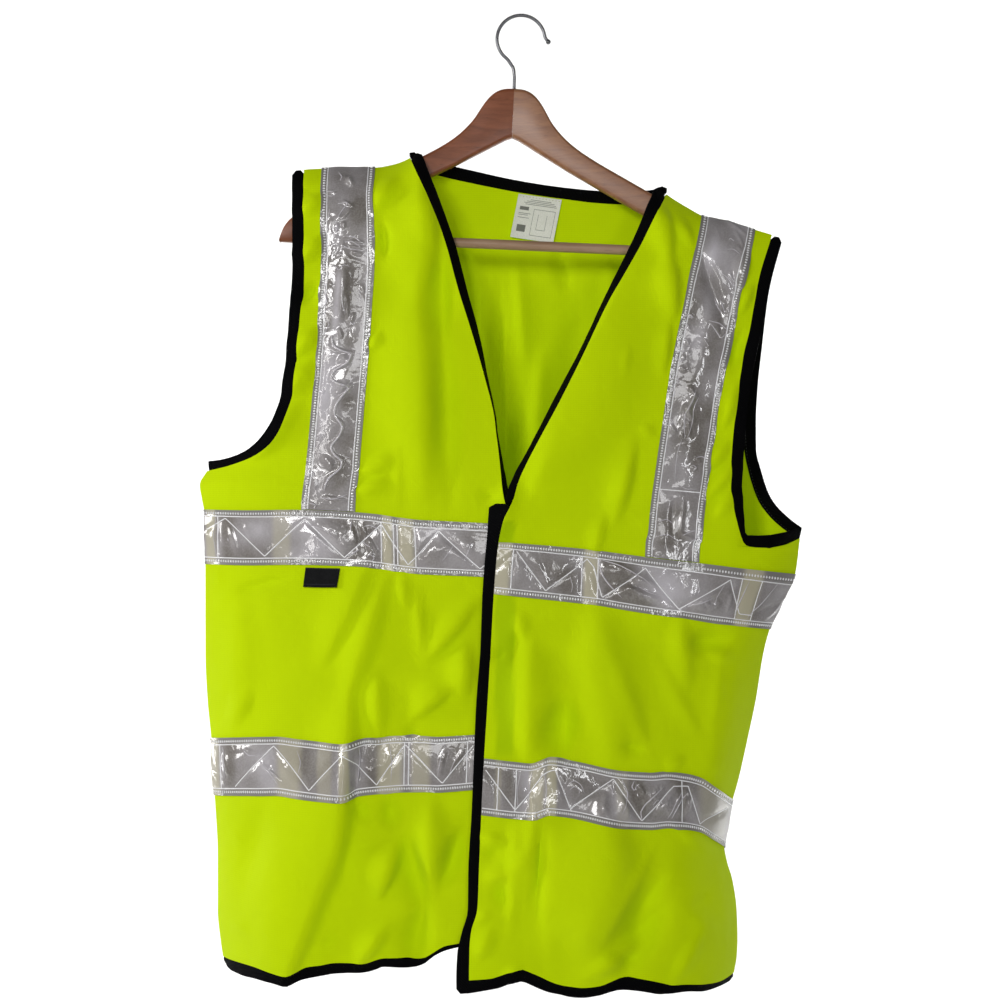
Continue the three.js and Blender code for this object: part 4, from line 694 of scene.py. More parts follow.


# What lies on a tape. A place along it is x on a band, and the depth below the origin on a shoulder tape;
# up is measured from its lower or left edge. Joints are where the film lies on the cloth alone.
# Tones lighten or darken patches of the prismatic backing: painted sheen where it is lighter and painted
# shade where it is darker.
MARKS = {
    "chest_left": tape_marks(
        seed=3,
        zigzag=[(-294, 31), (-275.5, 42), (-237.6, 8), (-200.5, 42), (-163.5, 8), (-129.2, 42), (-105.2, 8),
            (-75.5, 42), (-39.4, 8), (-28, 18)],
        rules=[-283, -129.5, -118, -114.5, -98],
        joints=[(-290, 5, 0.7), (-222, 9, 0.45), (-124, 5, 0.9), (-106.5, 7.5, 0.85)],
        creases=[(-272, 40, -262, 8, 2, 3, 1.2), (-262, 44, -252, 12, 3, 3, -1),
            (-158, 42, -150, 10, 2, 4, 1.6), (-148, 44, -136, 8, 1.5, 2.5, 1.8),
            (-142, 30, -132, 12, 1.5, 1.5, 1.4), (-60, 40, -90, 10, 5, 9, 0.8),
            (-44, 38, -60, 12, 4, 8, 0.9)],
        bumps=[(-178, 34, 14, 9, 3.2), (-162, 22, 8, 9, 1.6), (-254, 34, 5, 5, 1.2), (-60, 26, 30, 14, 1.2)],
        tones=[(-274, 25, 7, 30, -0.9), (-246, 32, 12, 10, 0.7), (-188, 24, 17, 18, 0.9),
            (-148, 25, 15, 24, -1.1), (-113, 25, 3, 30, -0.4), (-80, 15, 10, 16, -0.5),
            (-50, 30, 16, 20, 0.3)],
        crumples=[(-180, 41, 11, 5, 1), (-167, 34, 6, 6, 0.9), (-206, 42, 7, 2, 0.8), (-172, 28, 5, 4, 0.5),
            (-140, 11, 3, 3, 0.8)],
        pleats=[[(-157, 43, 0.5), (-158, 36, 0.8), (-157, 30, 0.3)], [(-146, 38, 0.4), (-140, 40, 0.8),
            (-134, 38, 0.5), (-133, 34, 0.3)], [(-147, 25, 0.3), (-143, 21, 0.6), (-140, 20, 0.3)],
            [(-161, 8, 0.4), (-155, 13, 0.9), (-149, 17, 0.4)], [(-144, 8, 0.4), (-140, 13, 0.5),
            (-136, 10, 0.6), (-139, 6, 0.4)], [(-74, 14, 0.3), (-66, 24, 0.5), (-62, 31, 0.3)],
            [(-54, 15, 0.3), (-49, 25, 0.6), (-45, 35, 0.3)], [(-285, 42, 0.5), (-287, 28, 0.4),
            (-285, 10, 0.5)], [(-281, 41, 0.3), (-283, 24, 0.5), (-281, 9, 0.3)], [(-205, 42, 0.5),
            (-195, 36, 0.7), (-182, 33, 0.4), (-172, 25, 0.3)], [(-273, 24, 0.9), (-272, 21, 0.9)]]),
    "waist_left": tape_marks(
        seed=5,
        zigzag=[(-292, 24), (-264.9, 8), (-226.7, 42), (-192.1, 8), (-162.9, 40), (-132, 8), (-106.5, 42),
            (-71.9, 8), (-44.6, 40)],
        rules=[-280, -107, -103, -50],
        joints=[(-287, 6, 0.7), (-212, 12, 0.55), (-178, 7, 0.35), (-162, 3.5, 0.9), (-120, 12, 0.8),
            (-92, 9, 0.6)],
        creases=[(-276, 40, -270, 14, 3, 2, 1.4), (-256, 42, -246, 34, 2, 2, 1.6),
            (-254, 40, -236, 34, 1.5, 2, 1.4), (-240, 30, -216, 8, 1.6, 2.4, 1.8),
            (-232, 44, -208, 12, 5, 3, 1), (-152, 46, -150, 8, 2, 1.6, 1.4), (-122, 44, -118, 6, 4, 3, 1),
            (-68, 44, -76, 10, 2, 2, 1.3), (-50, 42, -68, 10, 2, 2.5, 1.3)],
        bumps=[(-262, 28, 8, 9, 1.4), (-190, 24, 12, 14, 0.8)],
        tones=[(-270, 25, 8, 24, -0.9), (-240, 30, 16, 14, 0.6), (-196, 25, 10, 24, -0.9),
            (-150, 22, 12, 24, 0.5), (-136, 30, 7, 24, -0.9), (-104, 25, 7, 24, -0.5),
            (-70, 25, 16, 20, -0.4), (-42, 25, 10, 20, 0.5)],
        crumples=[(-262, 40, 7, 3, 1), (-224, 15, 4, 5, 0.9), (-230, 26, 3, 4, 0.7), (-150, 14, 3, 6, 0.6),
            (-73, 30, 3, 7, 0.7)],
        pleats=[[(-277, 42, 0.4), (-274, 30, 0.8), (-276, 14, 0.4)], [(-256, 40, 0.4), (-250, 34, 0.9),
            (-243, 34, 0.4)], [(-242, 31, 0.4), (-232, 22, 0.8), (-222, 9, 0.5)], [(-236, 27, 0.3),
            (-228, 20, 0.5), (-220, 14, 0.3)], [(-150, 44, 0.4), (-149, 28, 0.6), (-151, 9, 0.4)],
            [(-121, 44, 0.3), (-118, 26, 0.5), (-119, 8, 0.3)], [(-70, 43, 0.3), (-74, 30, 0.6),
            (-77, 12, 0.3)], [(-54, 41, 0.3), (-62, 26, 0.5), (-68, 10, 0.3)], [(-205, 40, 0.3),
            (-200, 30, 0.5), (-203, 20, 0.3)]]),
    "chest_right": tape_marks(
        seed=7,
        zigzag=[(-24, 22), (-6, 42), (22.6, 8), (59.6, 42), (66, 36), (74.4, 8), (114.2, 42), (144.8, 8),
            (190.2, 42), (204, 12), (216, 12), (258, 40)],
        rules=[-9, 55, 70, 200, 217],
        joints=[(-18, 8, 0.9), (63.3, 7, 0.9), (208.7, 9, 0.9)],
        creases=[(76, 44, 116, 32, 3, 2.5, 2.4), (92, 22, 130, 14, 3, 4, 2.2),
            (100, 30, 128, 30, 2.5, 3, 1.8), (150, 12, 196, 40, 3, 3, 2), (170, 6, 186, 22, 4, 2, 1.6),
            (196, 44, 190, 6, 2, 2, 1.2), (246, 40, 232, 6, 2, 2, 1.6), (10, 40, 26, 8, 4, 3, 0.8)],
        bumps=[(84, 35, 11, 8, 3.2), (106, 33, 12, 7, 2.8), (92, 21, 9, 5, 1.8), (106, 12, 14, 7, 3.0),
            (164, 14, 9, 8, 2.8), (160, 26, 20, 10, 1.0)],
        tones=[(20, 25, 26, 30, -0.5), (44, 16, 7, 12, -0.4), (86, 25, 14, 24, -0.7), (136, 28, 19, 20, 1),
            (112, 8, 16, 6, -0.7), (182, 22, 9, 20, -0.5), (196, 40, 6, 6, 0.5)],
        crumples=[(82, 39, 8, 5, 1), (100, 37, 14, 3.5, 1), (97, 21, 11, 3.2, 1), (106, 13, 13, 3, 1),
            (88, 17, 5, 4, 0.9), (160, 11, 6, 4, 1), (169, 17, 4, 6, 0.9), (128, 4, 26, 2.2, 0.8)],
        pleats=[[(70.5, 43, 0.6), (73, 31, 1), (80, 22, 0.9), (92, 11, 0.6)], [(72, 43, 0.5), (90, 41, 0.8),
            (112, 33, 0.6), (120, 27, 0.3)], [(152, 12, 0.5), (165, 17, 0.9), (176, 24, 0.4)],
            [(206, 44, 0.4), (202, 26, 0.8), (199.5, 8, 0.5)], [(231, 44, 0.4), (223, 28, 0.7),
            (213, 8, 0.5)], [(108, 24, 0.3), (118, 20, 0.6), (128, 19, 0.3)], [(44, 24, 0.4), (47, 16, 0.4),
            (46, 9, 0.3)], [(186, 38, 0.3), (180, 28, 0.4), (178, 14, 0.3)]]),
    "waist_right": tape_marks(
        seed=11,
        zigzag=[(-33.6, 40), (-5.8, 8), (17, 36), (29.2, 40), (43.7, 8), (82.9, 42), (108.4, 8), (138, 38),
            (152, 40), (163.5, 8), (190, 38)],
        rules=[-22, -6, 146],
        joints=[(-22, 3, 0.35), (13, 7, 0.8), (26, 5, 0.9), (90, 6, 0.25), (178, 16, 0.45)],
        creases=[(-6, 42, -8, 14, 1.6, 1.6, 1.6), (8, 42, 10, 10, 2, 2, 1.4), (36, 38, 34, 16, 2, 2, 1.2),
            (76, 30, 72, 4, 4, 2.5, 1.8), (94, 34, 84, 6, 2.5, 3, 2), (106, 40, 110, 30, 2, 2, 1.8),
            (118, 12, 146, 44, 4, 3, 2.4), (130, 8, 150, 36, 3, 3, 2), (118, 46, 152, 46, 2, 3, 1.4),
            (152, 42, 142, 8, 1.6, 1.6, 1.4), (158, 40, 146, 8, 1.6, 1.6, 1.4)],
        bumps=[(48, 28, 8, 8, 1.2), (73, 12, 6, 8, 2.2), (93, 17, 5, 9, 2.0), (118, 31, 9, 9, 3.0),
            (130, 18, 7, 9, 2.4)],
        tones=[(-34, 25, 8, 24, -0.5), (-12, 28, 5, 24, -0.6), (4, 25, 4, 24, 0.6), (60, 30, 18, 16, -0.7),
            (84, 20, 5, 20, 0.3), (106, 26, 9, 24, -1.1), (146, 25, 6, 24, -0.8)],
        crumples=[(76, 11, 3, 6, 1), (92, 15, 3, 9, 1), (116, 28, 5, 8, 1), (124, 36, 5, 5, 0.8),
            (133, 21, 4, 8, 0.9), (122, 9, 9, 3, 0.8), (47, 29, 5, 3, 0.4)],
        pleats=[[(78, 37, 0.4), (82, 32, 0.6), (82, 26, 0.3)], [(91, 42, 0.5), (96, 32, 0.8), (94, 24, 0.5),
            (89, 12, 0.4)], [(102, 43, 0.4), (99, 37, 0.8), (102, 34, 0.5), (104, 40, 0.4)], [(109, 8, 0.5),
            (107, 16, 0.8), (114, 27, 0.9), (129, 38, 0.5)], [(136, 9, 0.5), (142, 23, 0.9), (150, 34, 0.4)],
            [(132, 9, 0.4), (138, 22, 0.7), (147, 36, 0.4)], [(40, 27, 0.3), (46, 34, 0.6), (53, 31, 0.5),
            (56, 24, 0.3)], [(42, 24, 0.3), (47, 29, 0.6), (52, 26, 0.4), (51, 22, 0.3)], [(-2, 43, 0.3),
            (-5, 26, 0.5), (-3, 8, 0.3)], [(9, 43, 0.4), (6, 26, 0.6), (8, 8, 0.4)], [(19, 40, 0.3),
            (22, 22, 0.5), (20, 8, 0.3)], [(118, 22, 0.3), (122, 28, 0.5), (128, 22, 0.4)]]),
    "shoulder_left": tape_marks(
        seed=13,
        zigzag=[],
        rules=[],
        creases=[(160, 24, 170, 31, 2.4, 2.4, 2), (172, 6, 176, 16, 1.2, 1.2, 1.4),
            (182, 20, 190, 32, 1.2, 1.4, 1.5), (190, 30, 200, 21, 1.2, 1.4, 1.5),
            (202, 22, 210, 22, 1.4, 1.4, 1.4), (221, 26, 225, 42, 1.2, 1.4, 1.7),
            (226, 26, 230, 42, 1.2, 1.2, 1.5), (231, 28, 236, 40, 1.2, 1.4, 1.5),
            (256, 8, 262, 11, 1.6, 1.6, 1.6), (240, 20, 296, 22, 4, 4, 1.4),
            (262, 38, 276, 44, 1.6, 1.6, 1.4), (268, 26, 300, 29, 1.4, 1.4, 1),
            (288, 34, 298, 31, 1.8, 1.8, 2), (300, 20, 312, 24, 1.4, 1.4, 1.4),
            (328, 22, 336, 34, 3, 3, 1.6), (350, 22, 362, 30, 2.2, 2.2, 1.4), (418, 14, 432, 26, 3, 3, 1.8),
            (440, 8, 452, 12, 2, 2, 1.6), (458, 18, 462, 44, 1.3, 1.3, 1.7),
            (462, 6, 468, 14, 1.4, 1.4, 1.4)],
        bumps=[(165, 28, 4, 4, 1), (262, 22, 26, 6, 1.4), (360, 28, 14, 8, 1)],
        tones=[(158, 14, 10, 10, -0.5), (196, 36, 14, 8, -0.9), (186, 22, 10, 8, 0.3), (216, 14, 16, 6, 0.9),
            (240, 20, 8, 10, -0.8), (262, 17, 22, 3.5, 1.3), (262, 30, 24, 8, -0.8), (292, 17, 14, 4, 1.2),
            (316, 32, 10, 9, -0.9), (296, 10, 10, 4, -0.6), (344, 32, 6, 10, -0.9), (372, 34, 8, 8, -1),
            (352, 10, 26, 8, 0.7), (396, 12, 28, 8, 0.8), (412, 38, 12, 8, -0.6), (440, 34, 14, 10, -0.9),
            (448, 14, 12, 6, 0.4)],
        crumples=[(163, 24, 4, 4, 1), (202, 14, 10, 9, 0.9), (226, 14, 12, 9, 0.9), (262, 10, 12, 7, 0.6),
            (331, 25, 6, 4, 0.9), (360, 23, 3, 3.5, 1), (356, 30, 4, 6, 0.7), (427, 23, 6, 3, 1),
            (437, 7, 4, 3, 0.9), (298, 31, 3, 2.5, 0.8), (254, 5, 3, 2, 0.8), (246, 18, 6, 3, 0.4),
            (334, 3, 5, 2, 0.7), (400, 7, 5, 3, 0.5), (468, 9, 4, 5, 0.8)],
        pleats=[[(155, 16, 0.4), (160, 20, 0.9), (164, 18, 0.5)], [(172, 4, 0.4), (174, 10, 0.5),
            (173, 16, 0.3)], [(176, 4, 0.3), (178, 10, 0.5), (177, 15, 0.3)], [(185, 16, 0.3),
            (185, 27, 0.8), (192, 20, 0.6), (200, 16, 0.4)], [(189, 9, 0.4), (197, 8, 0.6), (201, 3, 0.4)],
            [(203, 16, 0.4), (210, 16, 0.9), (211, 13, 0.3)], [(216, 24, 0.4), (218, 32, 0.9),
            (223, 37, 0.5)], [(221, 22, 0.4), (222, 30, 0.8), (228, 37, 0.5)], [(224, 20, 0.4),
            (228, 26, 0.7), (231, 36, 0.4)], [(242, 9, 0.3), (242, 14, 0.6), (248, 17, 0.4), (242, 21, 0.6),
            (245, 27, 0.3)], [(253, 4, 0.5), (269, 6, 0.7), (276, 8, 0.7), (280, 4, 0.4)], [(265, 37, 0.3),
            (276, 39, 0.6), (280, 40, 0.3)], [(280, 19, 0.4), (282, 8, 0.6), (288, 4, 0.3)], [(258, 20, 0.3),
            (278, 22, 0.5), (289, 26, 0.3)], [(289, 5, 0.3), (296, 12, 0.5), (305, 6, 0.5), (314, 5, 0.4),
            (325, 9, 0.3)], [(296, 30, 0.4), (300, 33, 0.6), (298, 36, 0.3)], [(338, 6, 0.5), (332, 9, 0.4),
            (326, 6, 0.3)], [(358, 6, 0.4), (360, 10, 0.6), (356, 12, 0.3)], [(398, 4, 0.3), (402, 10, 0.5),
            (398, 13, 0.3)], [(433, 5, 0.5), (437, 9, 0.6), (442, 5, 0.5), (439, 3, 0.3)], [(459, 16, 0.4),
            (461, 30, 0.9), (456, 42, 0.6)], [(464, 5, 0.5), (466, 14, 0.7), (470, 12, 0.4)],
            [(327, 38, 0.3), (330, 44, 0.5)], [(422, 36, 0.3), (424, 41, 0.6)]],
        worm=[(306, 14), (316, 15), (323, 24), (327, 34), (335, 32), (340, 18), (347, 16), (354, 24),
            (358, 36), (371, 23), (382, 22), (394, 32), (403, 29), (411, 21), (419, 25), (426, 34),
            (433, 33), (441, 22), (453, 20)]),
    "shoulder_right": tape_marks(
        seed=17,
        zigzag=[],
        rules=[453],
        creases=[(200, 20, 212, 48, 1.6, 2, 1.4), (206, 30, 226, 46, 1.6, 1.6, 1.2),
            (222, 36, 228, 44, 1.6, 1.6, 1.2), (246, 34, 258, 44, 1.5, 1.5, 1.4),
            (272, 36, 284, 40, 1.5, 1.5, -1.8), (272, 44, 286, 38, 1.5, 1.5, 1.6),
            (296, 36, 306, 40, 1.5, 1.5, -1.8), (296, 44, 308, 38, 1.5, 1.5, 1.6),
            (292, 8, 296, 9, 1.2, 1.2, 1.2), (302, 8, 308, 9, 1.2, 1.2, 1.6),
            (315, 10, 321, 11, 1.6, 1.6, 1.6), (330, 9, 334, 11, 1.5, 1.5, 1.4),
            (340, 8, 345, 14, 1.8, 1.8, 1.8), (356, 18, 368, 30, 2, 2, 1.8), (364, 26, 384, 20, 1.8, 1.8, 2),
            (372, 16, 392, 30, 2.2, 2, 2), (386, 22, 404, 27, 1.6, 1.6, 1.6),
            (392, 6, 402, 14, 1.6, 1.6, 1.8), (420, 34, 428, 44, 1.6, 1.6, 1.4),
            (456, 20, 500, 22, 2, 2, -1), (460, 30, 500, 29, 2, 2, 1), (492, 28, 496, 46, 2, 2, 1.8)],
        bumps=[(376, 22, 16, 6, 1.6), (330, 24, 60, 10, 1), (500, 14, 10, 8, 1.2)],
        tones=[(210, 20, 14, 12, -0.3), (236, 16, 18, 5, 0.8), (300, 20, 34, 5, 0.8), (282, 36, 20, 7, -0.5),
            (330, 34, 24, 9, -0.3), (352, 20, 8, 9, -0.8), (386, 32, 16, 8, -0.5), (420, 14, 22, 9, -0.4),
            (428, 34, 14, 8, -0.8), (470, 24, 12, 20, -0.9), (498, 22, 14, 20, -0.5)],
        crumples=[(240, 18, 6, 5, 0.35), (318, 10, 3, 2.5, 1), (328, 14, 3, 2, 0.9), (340, 14, 3, 2, 1),
            (368, 23, 5, 3, 0.9), (380, 20, 6, 5, 1), (392, 18, 5, 4, 1), (402, 19, 6, 2, 0.8),
            (354, 7, 5, 3, 0.6), (431, 35, 3, 2.5, 0.8), (489, 40, 3, 5, 0.9), (496, 45, 4, 3, 0.7)],
        pleats=[[(219, 33, 0.5), (217, 29, 0.6), (219, 28, 0.5)], [(228, 28, 0.3), (226, 34, 0.5),
            (230, 42, 0.3)], [(249, 26, 0.3), (252, 34, 0.6), (261, 44, 0.5)], [(274, 26, 0.4),
            (281, 32, 0.8), (286, 39, 0.5)], [(272, 33, 0.4), (279, 37, 0.8), (285, 40, 0.5)],
            [(295, 25, 0.5), (296, 36, 0.8), (300, 45, 0.5)], [(297, 27, 0.4), (302, 33, 0.7),
            (309, 40, 0.6), (303, 43, 0.3)], [(294, 4, 0.4), (293, 8, 0.6), (295, 11, 0.4), (296, 7, 0.6),
            (294, 4, 0.3)], [(303, 3, 0.4), (302, 7, 0.6), (305, 9, 0.5), (307, 6, 0.6), (304, 3, 0.3)],
            [(315, 5, 0.4), (316, 9, 0.8), (320, 12, 0.6)], [(324, 3, 0.4), (328, 7, 0.7), (325, 12, 0.6),
            (330, 15, 0.4)], [(333, 3, 0.4), (337, 8, 0.7), (331, 11, 0.3)], [(348, 3, 0.4), (354, 10, 0.8),
            (358, 4, 0.5), (366, 8, 0.5), (370, 3, 0.3)], [(360, 26, 0.4), (370, 24, 0.9), (384, 18, 0.9),
            (404, 22, 0.4)], [(364, 30, 0.3), (376, 26, 0.6), (390, 27, 0.5), (407, 24, 0.3)],
            [(385, 2, 0.5), (392, 11, 0.8), (396, 3, 0.6), (388, 5, 0.3)], [(404, 20, 0.3), (420, 17, 0.5),
            (446, 19, 0.3)], [(421, 35, 0.4), (419, 40, 0.6), (421, 45, 0.4)], [(434, 34, 0.4),
            (430, 37, 0.6), (428, 33, 0.5)], [(447, 22, 0.3), (451, 30, 0.5), (450, 40, 0.4)],
            [(494, 31, 0.4), (489, 38, 0.9), (487, 44, 0.6)], [(499, 40, 0.4), (495, 44, 0.7),
            (492, 46, 0.5)], [(484, 8, 0.3), (480, 16, 0.5), (484, 22, 0.3)], [(498, 6, 0.3), (494, 18, 0.4),
            (500, 30, 0.3)]]),
    "back_band": tape_marks(
        seed=19,
        zigzag=[(-296 + 37 * k, 42 if k % 2 else 8) for k in range(16)],
        rules=[-240 + 96 * k + side for k in range(6) for side in (-6, 6)],
        joints=[(-240 + 96 * k, 6, 0.85) for k in range(6)],
        creases=[(-272, 42, -256, 10, 2, 3, 1.4), (-196, 40, -178, 12, 2, 4, 1.6),
            (-86, 44, -96, 14, 3, 2, 1.2), (32, 30, 64, 12, 3, 4, 1.4), (92, 42, 82, 8, 2, 3, 1.5),
            (176, 40, 168, 16, 2, 3, 1.4)],
        bumps=[(-214, 27, 16, 10, 1.8), (-120, 20, 20, 12, 1.2), (10, 30, 14, 9, 1.8),
            (132, 24, 22, 12, 1.4), (224, 22, 12, 12, 1.6)],
        tones=[(-268, 25, 12, 24, -0.8), (-204, 30, 18, 14, 0.9), (-168, 20, 10, 20, -0.9),
            (-110, 28, 22, 16, 0.7), (-20, 20, 16, 16, -0.7), (26, 32, 18, 12, 0.9), (92, 25, 10, 24, -0.9),
            (150, 28, 24, 16, 0.6), (226, 25, 14, 24, -0.6)],
        crumples=[(-214, 36, 12, 4, 1), (-176, 12, 5, 3, 0.9), (18, 34, 9, 5, 1), (126, 16, 10, 4, 0.9)],
        pleats=[[(-270, 40, 0.4), (-264, 26, 0.8), (-257, 12, 0.4)], [(-230, 41, 0.4), (-208, 36, 0.8),
            (-196, 26, 0.5), (-184, 24, 0.3)], [(-180, 10, 0.4), (-174, 17, 0.7), (-166, 18, 0.3)],
            [(-94, 14, 0.3), (-90, 28, 0.6), (-84, 40, 0.3)], [(4, 40, 0.4), (16, 38, 0.8), (30, 30, 0.4)],
            [(86, 12, 0.4), (88, 26, 0.7), (94, 40, 0.3)], [(114, 10, 0.4), (130, 14, 0.8), (142, 22, 0.4)],
            [(172, 18, 0.3), (175, 30, 0.6), (173, 40, 0.3)]]),
    "back_shoulder": tape_marks(
        seed=23,
        zigzag=[],
        rules=[],
        creases=[
            (176 + 37 * k, 14 + 9 * (k % 3), 190 + 36 * k, 40 - 11 * (k % 3), 1.8, 2, 1.4)
            for k in range(8)],
        bumps=[(200 + 52 * k, 24, 18, 9, 1.3) for k in range(5)],
        tones=[(190 + 41 * k, 25, 17, 12, 0.8 * (-1) ** k) for k in range(8)],
        crumples=[(204 + 66 * k, 15 + 5 * k, 6, 4, 0.9) for k in range(5)],
        pleats=[[(182 + 33 * k, 12 + 2 * k, 0.4), (188 + 33 * k, 22 + k, 0.8),
            (194 + 34 * k, 38 - k, 0.4)] for k in range(9)])}
WELDS = (6.2, 43.8)  # thin white weld lines, from the tape's lower or left edge
BEAD_ROWS = (3.3, 46.7)
BEAD_PITCH = 2.5
LINE = rounded(6, 0.35, 0.52, 1)
PLEAT = rounded(8, 0.7, 0.8, 1)
CRUMPLED = 0.55


def field(place, up, rng, shortest, longest, count=7):
    """A smooth random field: a sum of sine waves that run in random directions, near -1 to 1."""
    total = np.zeros(np.broadcast(place, up).shape)
    for _ in range(count):
        wave = rng.uniform(shortest, longest)
        turn = rng.uniform(0, np.pi)
        start = rng.uniform(0, 2 * np.pi)
        total += np.sin(2 * np.pi * (place * math.cos(turn) + up * math.sin(turn)) / wave + start)
    return total / math.sqrt(count)


def distance_to(line, place, up):
    """Distance from each point to the nearest stretch of a line."""
    nearest = np.full(np.broadcast(place, up).shape, 1e3)
    for (a0, b0), (a1, b1) in zip(line[:-1], line[1:]):
        da, db = a1 - a0, b1 - b0
        t = np.clip(((place - a0) * da + (up - b0) * db) / (da * da + db * db), 0, 1)
        nearest = np.minimum(nearest, np.hypot(place - a0 - t * da, up - b0 - t * db))
    return nearest


def film_creases(rows, place, up):
    """The thin creases of a film: ridges of bell section across straight lines, that fade over their ends."""
    height = np.zeros(place.shape)
    for x0, z0, x1, z1, right, left, out in zip(*rows.values()):
        dx, dz = x1 - x0, z1 - z0
        long = math.hypot(dx, dz)
        along = ((place - x0) * dx + (up - z0) * dz) / long
        across = ((place - x0) * dz - (up - z0) * dx) / long
        window = smoothstep(along, 0, 0.3 * long) * (1 - smoothstep(along, 0.7 * long, long))
        height += out * window * np.exp(-((across / np.where(across > 0, left, right)) ** 2))
    return height


def film_height(place, up, marks, puff, wave, crumple):
    """How far the film stands off its backing, in mm.

    Formula: it is held down at the weld lines and bulges between them as a half sine. To that are added a
    random field of long waves, thin ridges where a second field passes through zero, and the listed creases,
    bumps and worm-like ridge. In the crumpled patches it also stands in facets that meet in sharp valleys,
    which catch the lights one by one.
    """
    rng = np.random.default_rng(marks["seed"])
    between = np.clip((up - WELDS[0]) / (WELDS[1] - WELDS[0]), 0, 1)
    held = np.sin(np.pi * between) ** 0.6
    if marks["zigzag"]:
        held = held * (1 - 0.75 * np.exp(-((distance_to(marks["zigzag"], place, up) / 3) ** 2)))
    for rule in marks["rules"]:
        held = held * (1 - 0.75 * np.exp(-(((place - rule) / 2.5) ** 2)))
    long_waves = field(place, up, rng, 26, 70)
    thin = field(place, up, rng, 22, 60)
    where = smoothstep(field(place, up, rng, 50, 120), -0.2, 0.9)
    height = puff + wave * long_waves + crumple * where * np.exp(-((thin / 0.14) ** 2))
    height = height + film_creases(marks["creases"], place, up)
    crumpled = smoothstep(spread_patches(marks["crumples"], place, up), 0.06, 0.65)
    facets = abs(field(place, up, rng, 9, 20)) + 0.5 * abs(field(place, up, rng, 5, 9))
    height = height + CRUMPLED * crumpled * facets
    height = height + spread_patches(marks["bumps"], place, up)
    if "worm" in marks:
        worm = marks["worm"]
        ends = smoothstep(place, worm["place"][0], worm["place"][0] + 4)
        ends = ends * (1 - smoothstep(place, worm["place"][-1] - 4, worm["place"][-1]))
        middle = value(worm, "up", place)
        slope = (value(worm, "up", place + 0.5) - value(worm, "up", place - 0.5)) / math.sqrt(2)
        off = (up - middle) / np.hypot(1, slope)
        height = height + 1.1 * ends * np.exp(-((off / 1.6) ** 2))
    return held * height


def spread_patches(patches, place, up):
    """The sum of soft patches, each falling off as a bell curve over its own length and width."""
    total = np.zeros(place.shape)
    for at, over, long, wide, out in zip(*patches.values()):
        total += out * np.exp(-(((place - at) / long) ** 2) - ((up - over) / wide) ** 2)
    return total


def at_places(grid, along, up):
    """Points between those of a grid, from row and column numbers with fractions: a bilinear mix."""
    i = np.clip(np.floor(along).astype(int), 0, grid.shape[0] - 2)
    j = np.clip(np.floor(up).astype(int), 0, grid.shape[1] - 2)
    s, t = (along - i)[:, None], (up - j)[:, None]
    low = mix(grid[i, j], grid[i, j + 1], t)
    return mix(low, mix(grid[i + 1, j], grid[i + 1, j + 1], t), s)


def along_line(line, step):
    """Evenly spaced points on a line through its corners."""
    line = np.array(line, float)
    run = distances(line)
    at = np.linspace(0, run[-1], max(2, int(run[-1] / step) + 1))
    return np.interp(at, run, line[:, 0]), np.interp(at, run, line[:, 1])


def rounded_off(run, rounds=12):
    """A run of numbers with its corners worn round, its ends kept."""
    run = run.copy()
    for _ in range(rounds):
        run[1:-1] = (run[:-2] + 2 * run[1:-1] + run[2:]) / 4
    return run


def weld_lines(spots, marks, first, last):
    """The weld lines along both edges of a film, with its rules across and its zigzag."""
    lines = [[(first + 0.6, weld), (last - 0.6, weld)] for weld in WELDS]
    lines += [[(rule, WELDS[0]), (rule, WELDS[1])] for rule in marks["rules"] if first < rule < last]
    zigzag = [(a, b) for a, b in marks["zigzag"] if first < a < last]
    if len(zigzag) > 1:
        lines.append(zigzag)
    parts = []
    for line in lines:
        path, out = spots(*along_line(line, 1.6), 0.05)
        parts.append(sweep(path, unit(np.cross(tangents(path), out)), out, LINE))
    return joined(parts)


def pleats_of(spots, marks, first, last):
    """The narrow ridges that stand in a film, each along its own smoothed line and thinner at its ends."""
    pleats, parts = list(marks["pleats"]), []
    if "worm" in marks:
        worm = zip(*marks["worm"].values())
        pleats.append([(at, over, 1.0 + 0.4 * (k % 2)) for k, (at, over) in enumerate(worm)])
    for line in pleats:
        line = [stop for stop in line if first < stop[0] < last]
        if len(line) < 2:
            continue
        at, over, wide = np.array(line, float).T
        ticks = np.arange(len(at))
        fine = np.linspace(0, len(at) - 1, 8 * len(at))
        at, over, wide = (rounded_off(np.interp(fine, ticks, run)) for run in (at, over, wide))
        path, out = spots(at, np.clip(over, 1, TAPE_WIDTH - 1), 0.1)
        taper = np.sqrt(np.clip(np.minimum(fine, len(line) - 1 - fine) * 2.5, 0.05, 1))
        section = PLEAT[None] * (wide * taper)[:, None, None]
        parts.append(sweep(path, unit(np.cross(tangents(path), out)), out, section))
    return joined(parts) if parts else None


def bead_rows(spots, first, last, length):
    """The rows of weld beads along both edges of a film, at one pitch."""
    places = np.linspace(first + 1.2, last - 1.2, int(length / BEAD_PITCH))
    parts = []
    for row in BEAD_ROWS:
        centres, out = spots(places, np.full_like(places, row), 0)
        parts.append(beads(centres, tangents(centres), out, 1.0, 1.45, 0.8))
    return joined(parts)


